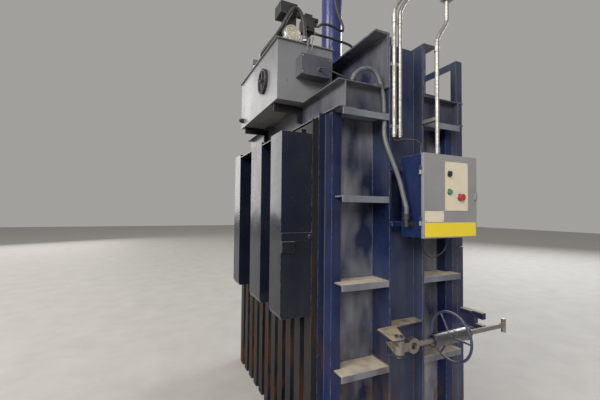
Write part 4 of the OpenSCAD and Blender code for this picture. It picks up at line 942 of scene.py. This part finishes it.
@dataclass
class HoseLines(Assembly):
    """Hydraulic hoses with their crimped ferrules and swivel nuts."""

    suction_radius: float = 0.015
    pressure_radius: float = 0.01
    ferrule: float = 0.036

    def routes(self) -> dict[str, Sequence[Stretch]]:
        """Repeat the frame's own routes, by hose."""
        plan = self.plan
        fan, lid, top = plan.motor, plan.lid_top, plan.crosshead_top
        port, cap, mount = -0.114, low_of("cylinder_cap")[2], plan.ring_top + 0.1
        feed, back = (-0.288, -0.23, lid + 0.31), (-0.288, -0.19, lid + 0.266)
        return {
            "suction": (
                (fan, [
                    (-0.075, 0.418, 0), (-0.092, 0.394, 0.006), (-0.096, 0.328, 0.014),
                    (-0.096, 0.2, 0.01), (-0.096, 0.07, 0.002), (-0.092, -0.008, 0.008),
                    (-0.078, -0.038, 0.038), (-0.051, -0.044, 0.095), (-0.013, -0.044, 0.159),
                    (0.018, -0.044, 0.182), (0.049, -0.044, 0.165), (0.074, -0.044, 0.113),
                    (0.084, -0.044, 0.041), (0.088, -0.044, -0.008)]),
                ((fan[0], fan[1], lid), [(0.088, -0.044, 0.032), (0.088, -0.044, 0.024)])),
            "pressure": (
                (feed, [(0, 0, 0), (0.008, 0, 0), (0.036, 0, 0.005)]),
                ((0, 0, feed[2]), [
                    (-0.228, -0.236, 0.022), (-0.172, -0.228, 0.036), (-0.114, -0.22, 0.038),
                    (-0.055, -0.21, 0.033), (-0.016, -0.204, 0.034), (-0.004, -0.201, 0.052),
                    (-0.01, -0.198, 0.092), (-0.057, -0.188, 0.208), (-0.072, -0.18, 0.3)]),
                ((0, 0, cap), [(-0.058, -0.17, -0.13)]),
                ((0, port, cap), [(-0.02, -0.046, -0.076), (0, -0.008, -0.06), (0, 0, -0.06)])),
            "return": (
                (back, [(0, 0, 0), (0.008, 0, 0), (0.036, -0.002, -0.003)]),
                ((0, 0, back[2]), [
                    (-0.228, -0.2, -0.009), (-0.133, -0.206, -0.012), (-0.035, -0.208, -0.019),
                    (0.05, -0.208, -0.029), (0.092, -0.21, -0.053), (0.108, -0.214, -0.097),
                    (0.104, -0.214, -0.163)]),
                ((0, 0, top), [
                    (0.074, -0.208, 0.1), (0.028, -0.194, 0.03), (0.002, -0.186, -0.02),
                    (0, -0.183, -0.06)]),
                ((0, 0, mount), [(0, -0.18, 0.14), (0, -0.166, 0.09)]),
                ((0, port, mount), [(0, -0.026, 0.063), (0, -0.008, 0.06), (0, 0, 0.06)])),
        }

    def fitting(self, path: np.ndarray, radius: float) -> list[Mesh]:
        """Give a ferrule with crimp grooves and a swivel nut at a route's first end."""
        start, heading = tuple(path[0]), tuple(path[1] - path[0])
        size, grooves = radius * 1.24, np.linspace(0.012, self.ferrule - 0.004, 7)
        crimped = [(x, size * (1.0 if i % 2 else 0.93)) for i, x in enumerate(grooves)]
        ferrule = turned([(0.010, size * 0.8), *crimped, (self.ferrule, size * 0.9)], heading, start, 20)
        nut = turned([(0, size * 1.12), (0.002, size * 1.26), (0.010, size * 1.26), (0.012, size * 1.12)],
                     heading, start, corners=6)
        return [ferrule, nut]

    def wrap(self, distance: np.ndarray, angle: np.ndarray) -> np.ndarray:
        """Give the radius factor of a faint wrapped cover: 1 + 0.012 sin(700 s + 2 a)."""
        return 1 + 0.012 * np.sin(distance * 700 + angle * 2)

    def build(self) -> None:
        """Sweep the three hoses and put a fitting on each end."""
        fittings = []
        for name, stretches in self.routes().items():
            radius = self.suction_radius if name == "suction" else self.pressure_radius
            path = centre_line(stretches, 10, 0.006)
            cover = tube(path, radius, 20, self.wrap)
            add_piece(f"{name}_hose_cover", cover, HOSE, [f"{name}_hose"])
            fittings += self.fitting(path, radius) + self.fitting(path[::-1], radius)
        add_piece("hose_nuts", joined([m for m in fittings if not m.smooth]), ZINC)
        add_piece("hose_ferrules", joined([m for m in fittings if m.smooth]), ZINC)


@dataclass
class Fasteners(Assembly):
    """Bolts and screws that show on the outside, each bolt given by its width and height."""

    lid_pitch: float = 0.118
    guide_pitch: float = 0.27
    lid_bolt: tuple[float, float] = (0.013, 0.006)
    guide_bolt: tuple[float, float] = (0.024, 0.01)
    cap_bolt: tuple[float, float] = (0.019, 0.01)
    mount_bolt: tuple[float, float] = (0.03, 0.018)
    foot_bolt: tuple[float, float] = (0.016, 0.009)

    def lid(self) -> Mesh:
        """Bolt heads round the rim of the tank lid."""
        low, high = span("tank_lid")
        inset, spots = 0.02, []
        along, across = ((high - low) / self.lid_pitch).astype(int)[:2] + 1
        for y in (low[1] + inset, high[1] - inset):
            spots += [(x, y, high[2]) for x in np.linspace(low[0] + 0.03, high[0] - 0.03, along)]
        for x in (low[0] + inset, high[0] - inset):
            spots += [(x, y, high[2]) for y in np.linspace(low[1] + 0.1, high[1] - 0.1, across)]
        return hexagon_bolts(spots, Axis.UP, *self.lid_bolt)

    def guides(self) -> Mesh:
        """Bolts on the front faces of the gate guides."""
        low, high = span("gate_guides")
        heights = np.arange(low[2] + 0.06, high[2] - 0.04, self.guide_pitch)
        spots = [(high[0], low[1] + 0.024, z) for z in heights]
        return mirrored(hexagon_bolts(spots, Axis.FRONT, *self.guide_bolt))

    def cylinder(self) -> Mesh:
        """Bolts in a ring on the cylinder cap and on its mounting plate."""
        cap, mount = low_of("cylinder_cap")[2] + 0.04, self.plan.ring_top + 0.125
        turns = around(8) + math.pi / 8
        ring = np.stack([np.cos(turns), np.sin(turns), np.zeros(8)], -1)
        heads = hexagon_bolts(ring * 0.082 + (0, 0, cap), Axis.UP, *self.cap_bolt)
        return joined([heads, hexagon_bolts(ring * 0.116 + (0, 0, mount), Axis.UP, *self.mount_bolt)])

    def boxes(self) -> Mesh:
        """Screws on the junction box, and bolts in the motor's feet."""
        low, high = span("junction_box")
        spots = [(x, low[1] + 0.016, z) for x in (low[0] + 0.014, high[0] - 0.014)
                 for z in (low[2] + 0.014, high[2] - 0.032)]
        screw = turned([(0, 0.006), (0.002, 0.006), (0.0035, 0.004)], Axis.NEAR, ORIGIN, 14)
        motor, sole = self.plan.motor, self.plan.lid_top + 0.016
        feet = [(motor[0] + x, motor[1] + y, sole) for x in (-0.05, 0.05) for y in (0.06, 0.24)]
        return joined([screw.placed(spots), hexagon_bolts(feet, Axis.UP, *self.foot_bolt)])

    def build(self) -> None:
        """Add each group of fasteners."""
        add_piece("lid_bolts", self.lid(), CASTING)
        add_piece("guide_bolts", self.guides(), STEEL)
        add_piece("cylinder_bolts", self.cylinder(), CASTING)
        add_piece("box_screws", self.boxes(), ZINC)


@dataclass
class PowerUnit(Assembly):
    """Fins and fan grille of the motor, and the trim of the tank cover."""

    fins: int = 28
    fin_height: float = 0.007
    fin_root: float = 0.002
    fin_half: float = 0.0013
    fin_taper: float = 0.6
    fin_ends: tuple[float, float] = (0.014, 0.286)
    bare_arc: float = 0.78
    grille_rings: int = 5
    grille_radii: tuple[float, float] = (0.014, 0.05)
    ring_wire: float = 0.0014
    spoke: float = 0.052
    spoke_wire: float = 0.0013

    def cooling_fins(self) -> Mesh:
        """Thin fins along the motor, left out under the terminal box and over the feet."""
        low, high = span("fan_cover")
        fan, radius = self.plan.motor, (high[0] - low[0]) / 2
        pieces = []
        for turn in around(self.fins):
            sine, cosine = math.sin(turn), math.cos(turn)
            if abs(sine) > self.bare_arc:
                continue
            out, across = np.array([cosine, 0.0, sine]), np.array([-sine, 0.0, cosine]) * self.fin_half
            base, tip = out * (radius - self.fin_root), out * (radius + self.fin_height)
            edge = across * self.fin_taper
            outline = fan + [base - across, base + across, tip + edge, tip - edge]
            ends = np.concatenate([outline + (0, y, 0) for y in self.fin_ends])
            pieces.append(Mesh(ends, barrel_faces(2, 4)))
        return joined(pieces)

    def grille(self) -> Mesh:
        """Rings and spokes over the fan opening.

        A ring is a small tube about the motor's axis, with its radius growing by equal steps.
        """
        fan, front = self.plan.motor, low_of("fan_cover")[1]
        angle = np.linspace(0, math.tau, 65)
        wires = []
        for radius in np.linspace(*self.grille_radii, self.grille_rings):
            path = np.stack([fan[0] + radius * np.cos(angle), np.full(65, front - 0.001),
                             fan[2] + radius * np.sin(angle)], -1)
            wires.append(tube(path, self.ring_wire, 6))
        for turn in np.arange(6) * math.pi / 6:
            out = self.spoke * np.array([math.cos(turn), 0, math.sin(turn)])
            middle = np.array([fan[0], front - 0.0012, fan[2]])
            wires.append(tube(np.linspace(middle - out, middle + out, 3), self.spoke_wire, 6))
        return joined(wires)

    def cover(self) -> tuple[Mesh, Mesh]:
        """Thick rim of the round tank cover, and its cross bar with the centre nut."""
        low, high = span("inspection_cover")
        _, y, z = (low + high) / 2
        face = high[0] - 0.016
        outline = [(0.0, 0.074), (0.0, 0.092), (0.003, 0.094), (0.006, 0.092), (0.0075, 0.087),
                   (0.006, 0.078), (0.002, 0.074)]
        bar = slab((face - 0.004, y - 0.011, z - 0.07), (face + 0.006, y + 0.011, z + 0.07))
        dome = [(0, 0.016), (0.012, 0.016), (0.015, 0.013)]
        nut = turned(dome, Axis.BACK, (face - 0.002, y, z), corners=6)
        return turned(outline, Axis.BACK, (face, y, z), 48, hollow=True), joined([bar, nut])

    def build(self) -> None:
        """Add the pieces of the power unit."""
        add_piece("motor_fins", self.cooling_fins(), DARK_PAINT)
        add_piece("fan_grille", self.grille(), CREAM)
        rim, bar = self.cover()
        add_piece("cover_rim", rim, CASTING)
        add_piece("cover_bar", bar, CASTING)


@dataclass
class ConduitTrim(Assembly):
    """Couplings and locknuts of the rigid conduits."""

    radius: float = 0.013
    pair: tuple[float, float] = (-0.121, -0.076)
    riser: float = 0.138
    locknut: float = 1.8785

    def couplings(self, spots: Sequence[Vector]) -> Mesh:
        """Give upright couplings with chamfered ends."""
        r = self.radius
        profile = [(-0.022, r), (-0.02, r * 1.2), (0.02, r * 1.2), (0.022, r)]
        return turned(profile, Axis.UP, ORIGIN, 24).placed(spots)

    def build(self) -> None:
        """Put couplings on the pair and the riser, with a locknut where the riser starts."""
        edge = -self.plan.half_width
        near, far = edge - 0.11, edge - self.radius - 0.005
        spots = [(x, far, z) for x in self.pair for z in (2.028, 2.73)]
        spots += [(self.riser, near, z) for z in (1.92, 2.56)]
        profile = [(0, 0.022), (0.006, 0.022), (0.008, 0.019)]
        nut = turned(profile, Axis.UP, (self.riser, near, self.locknut), corners=8)
        add_piece("conduit_couplings", self.couplings(spots), PIPE)
        add_piece("conduit_locknuts", nut, ZINC)


@dataclass
class LatchTrim(Assembly):
    """Threads, hub collars and lubricator of the handwheel latch."""

    rod: float = 0.014
    proud: float = 0.0002
    lead: float = 0.006
    depth: float = 0.0011
    reach: float = 0.16
    height: float = 0.796

    def thread(self, start: float, end: float) -> Mesh:
        """Cut a screw thread along the latch axis.

        The surface point at angle a and length x has the radius r + d tri(x / p - a / 2 pi),
        with r just proud of the rod, d the depth, p the lead and tri a triangle wave, so
        that the crest runs round as a helix.
        """
        _, y, z = self.spot(0.0)
        x = np.linspace(start, end, int((end - start) / self.lead * 8))[:, None]
        angle = around(24)
        phase = (x / self.lead - angle / math.tau) % 1.0
        reach = self.rod + self.proud + self.depth * (1 - np.abs(2 * phase - 1))
        along = np.broadcast_to(x, reach.shape)
        points = np.stack([along, y + reach * np.cos(angle), z + reach * np.sin(angle)], -1).reshape(-1, 3)
        return Mesh(points, barrel_faces(len(x), 24), True)

    def spot(self, x: float) -> Vector:
        """Give the point of the latch axis at a place along it."""
        return x, -self.plan.half_width - self.reach, self.height

    def build(self) -> None:
        """Add both threads, the wheel's hub collars and sleeve, and the pin's lubricator."""
        add_piece("arm_thread", self.thread(-0.078, 0.034), STEEL, body=Body.LATCH_ARM)
        add_piece("hook_thread", self.thread(0.366, 0.66), STEEL, body=Body.LATCH_HOOK)
        profile = [(0, 0.0382), (0.001, 0.0405), (0.011, 0.0405), (0.012, 0.0382)]
        rings = [turned(profile, Axis.FRONT, self.spot(x), 32) for x in (0.154, 0.204, 0.312)]
        add_piece("wheel_collars", joined(rings), BARREL_STEEL, body=Body.LATCH_WHEEL)
        low, high = span("latch_wheel")
        start, length = low[0], high[0] - low[0]
        outline = [(0.0, 0.0374), (0.0, 0.0384), (length, 0.0384), (length, 0.0374)]
        sleeve = turned(outline, Axis.FRONT, self.spot(start), 48, hollow=True)
        add_piece("wheel_sleeve", sleeve, BARREL_STEEL, body=Body.LATCH_WHEEL)
        profile = [(0, 0.006), (0.006, 0.006), (0.007, 0.0035), (0.011, 0.0035), (0.013, 0.002)]
        top = tuple(high_of("latch_pin") - (0.024, 0.024, 0))
        add_piece("pin_lubricator", turned(profile, Axis.UP, top, 14), ZINC)


@dataclass
class CabinetTrim(Assembly):
    """Bare plates, bezels and rivets of the control box door."""

    thickness: float = 0.0006
    bezel: float = 0.0045
    panel: float = 0.002
    seat: float = 0.0015

    def plates(self, left: float, floor: float, face: float) -> None:
        """Lay the cream operator plate, the yellow plate and the small cream plate over their seats."""
        wide = self.plan.box_high[0] - left - 0.008
        seats = {"operator_plate": ((0.163, 0.156), (0.353, 0.444), self.panel, CREAM),
                 "yellow_plate": ((0.004, 0.004), (wide, 0.086), self.seat, YELLOW),
                 "small_plate": ((0.004, 0.09), (0.152, 0.152), self.seat, CREAM)}
        for name, (low, high, proud, finish) in seats.items():
            front, back = face - proud - self.thickness, face - proud
            mesh = slab((left + low[0], front, floor + low[1]), (left + high[0], back, floor + high[1]))
            add_piece(name, mesh, finish, body=Body.CONTROL_DOOR)

    def build(self) -> None:
        """Dress the operator plate and the door."""
        left, floor, face = self.plan.box_low[0], self.plan.box_low[2], low_of("control_door")[1] + 0.014
        self.plates(left, floor, face)
        plate, high, bezels = face - self.panel, self.bezel, []
        for x, z, inner, outer in ((0.195, 0.266, 0.0147, 0.019), (0.283, 0.236, 0.0165, 0.0225),
                                   (0.195, 0.372, 0.0156, 0.0195)):
            ring = [(0.0, inner), (0.0, outer), (high * 0.7, outer), (high, outer - 0.0012), (high, inner)]
            bezels.append(turned(ring, Axis.NEAR, (left + x, plate, floor + z), hollow=True))
        add_piece("button_bezels", joined(bezels), ZINC, body=Body.CONTROL_DOOR)
        rivet = turned([(0, 0.0034), (0.0008, 0.0034), (0.0018, 0.002)], Axis.NEAR, ORIGIN, 12)
        spots = [(left + x, plate, floor + z) for x in (0.17, 0.346) for z in (0.163, 0.437)]
        spots += [(left + x, face - self.seat, floor + z) for x in (0.012, 0.144) for z in (0.098, 0.144)]
        add_piece("plate_rivets", rivet.placed(spots), ZINC, body=Body.CONTROL_DOOR)


def finish_nodes(frame: dict) -> None:
    """Give every carried-over node its finish, which is the navy paint where none is named."""
    finishes = {name: finish for finish, names in FINISH_NODES for name in names.split()}
    for name, node in frame["nodes"].items():
        node.data.materials.clear()
        node.data.materials.append(finishes.get(name, NAVY).material)


def main() -> None:
    """Build the stage and every sub-assembly in order."""
    logging.basicConfig(level=logging.INFO, format="%(name)s: %(message)s")
    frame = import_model()
    plan = Plan.measured()
    Stage().build()
    finish_nodes(frame)
    for assembly in (Welds, FlexLine, Cables, HoseLines, Fasteners, PowerUnit, ConduitTrim, LatchTrim,
                     CabinetTrim):
        assembly(plan).build()


if __name__ == "__main__":
    main()
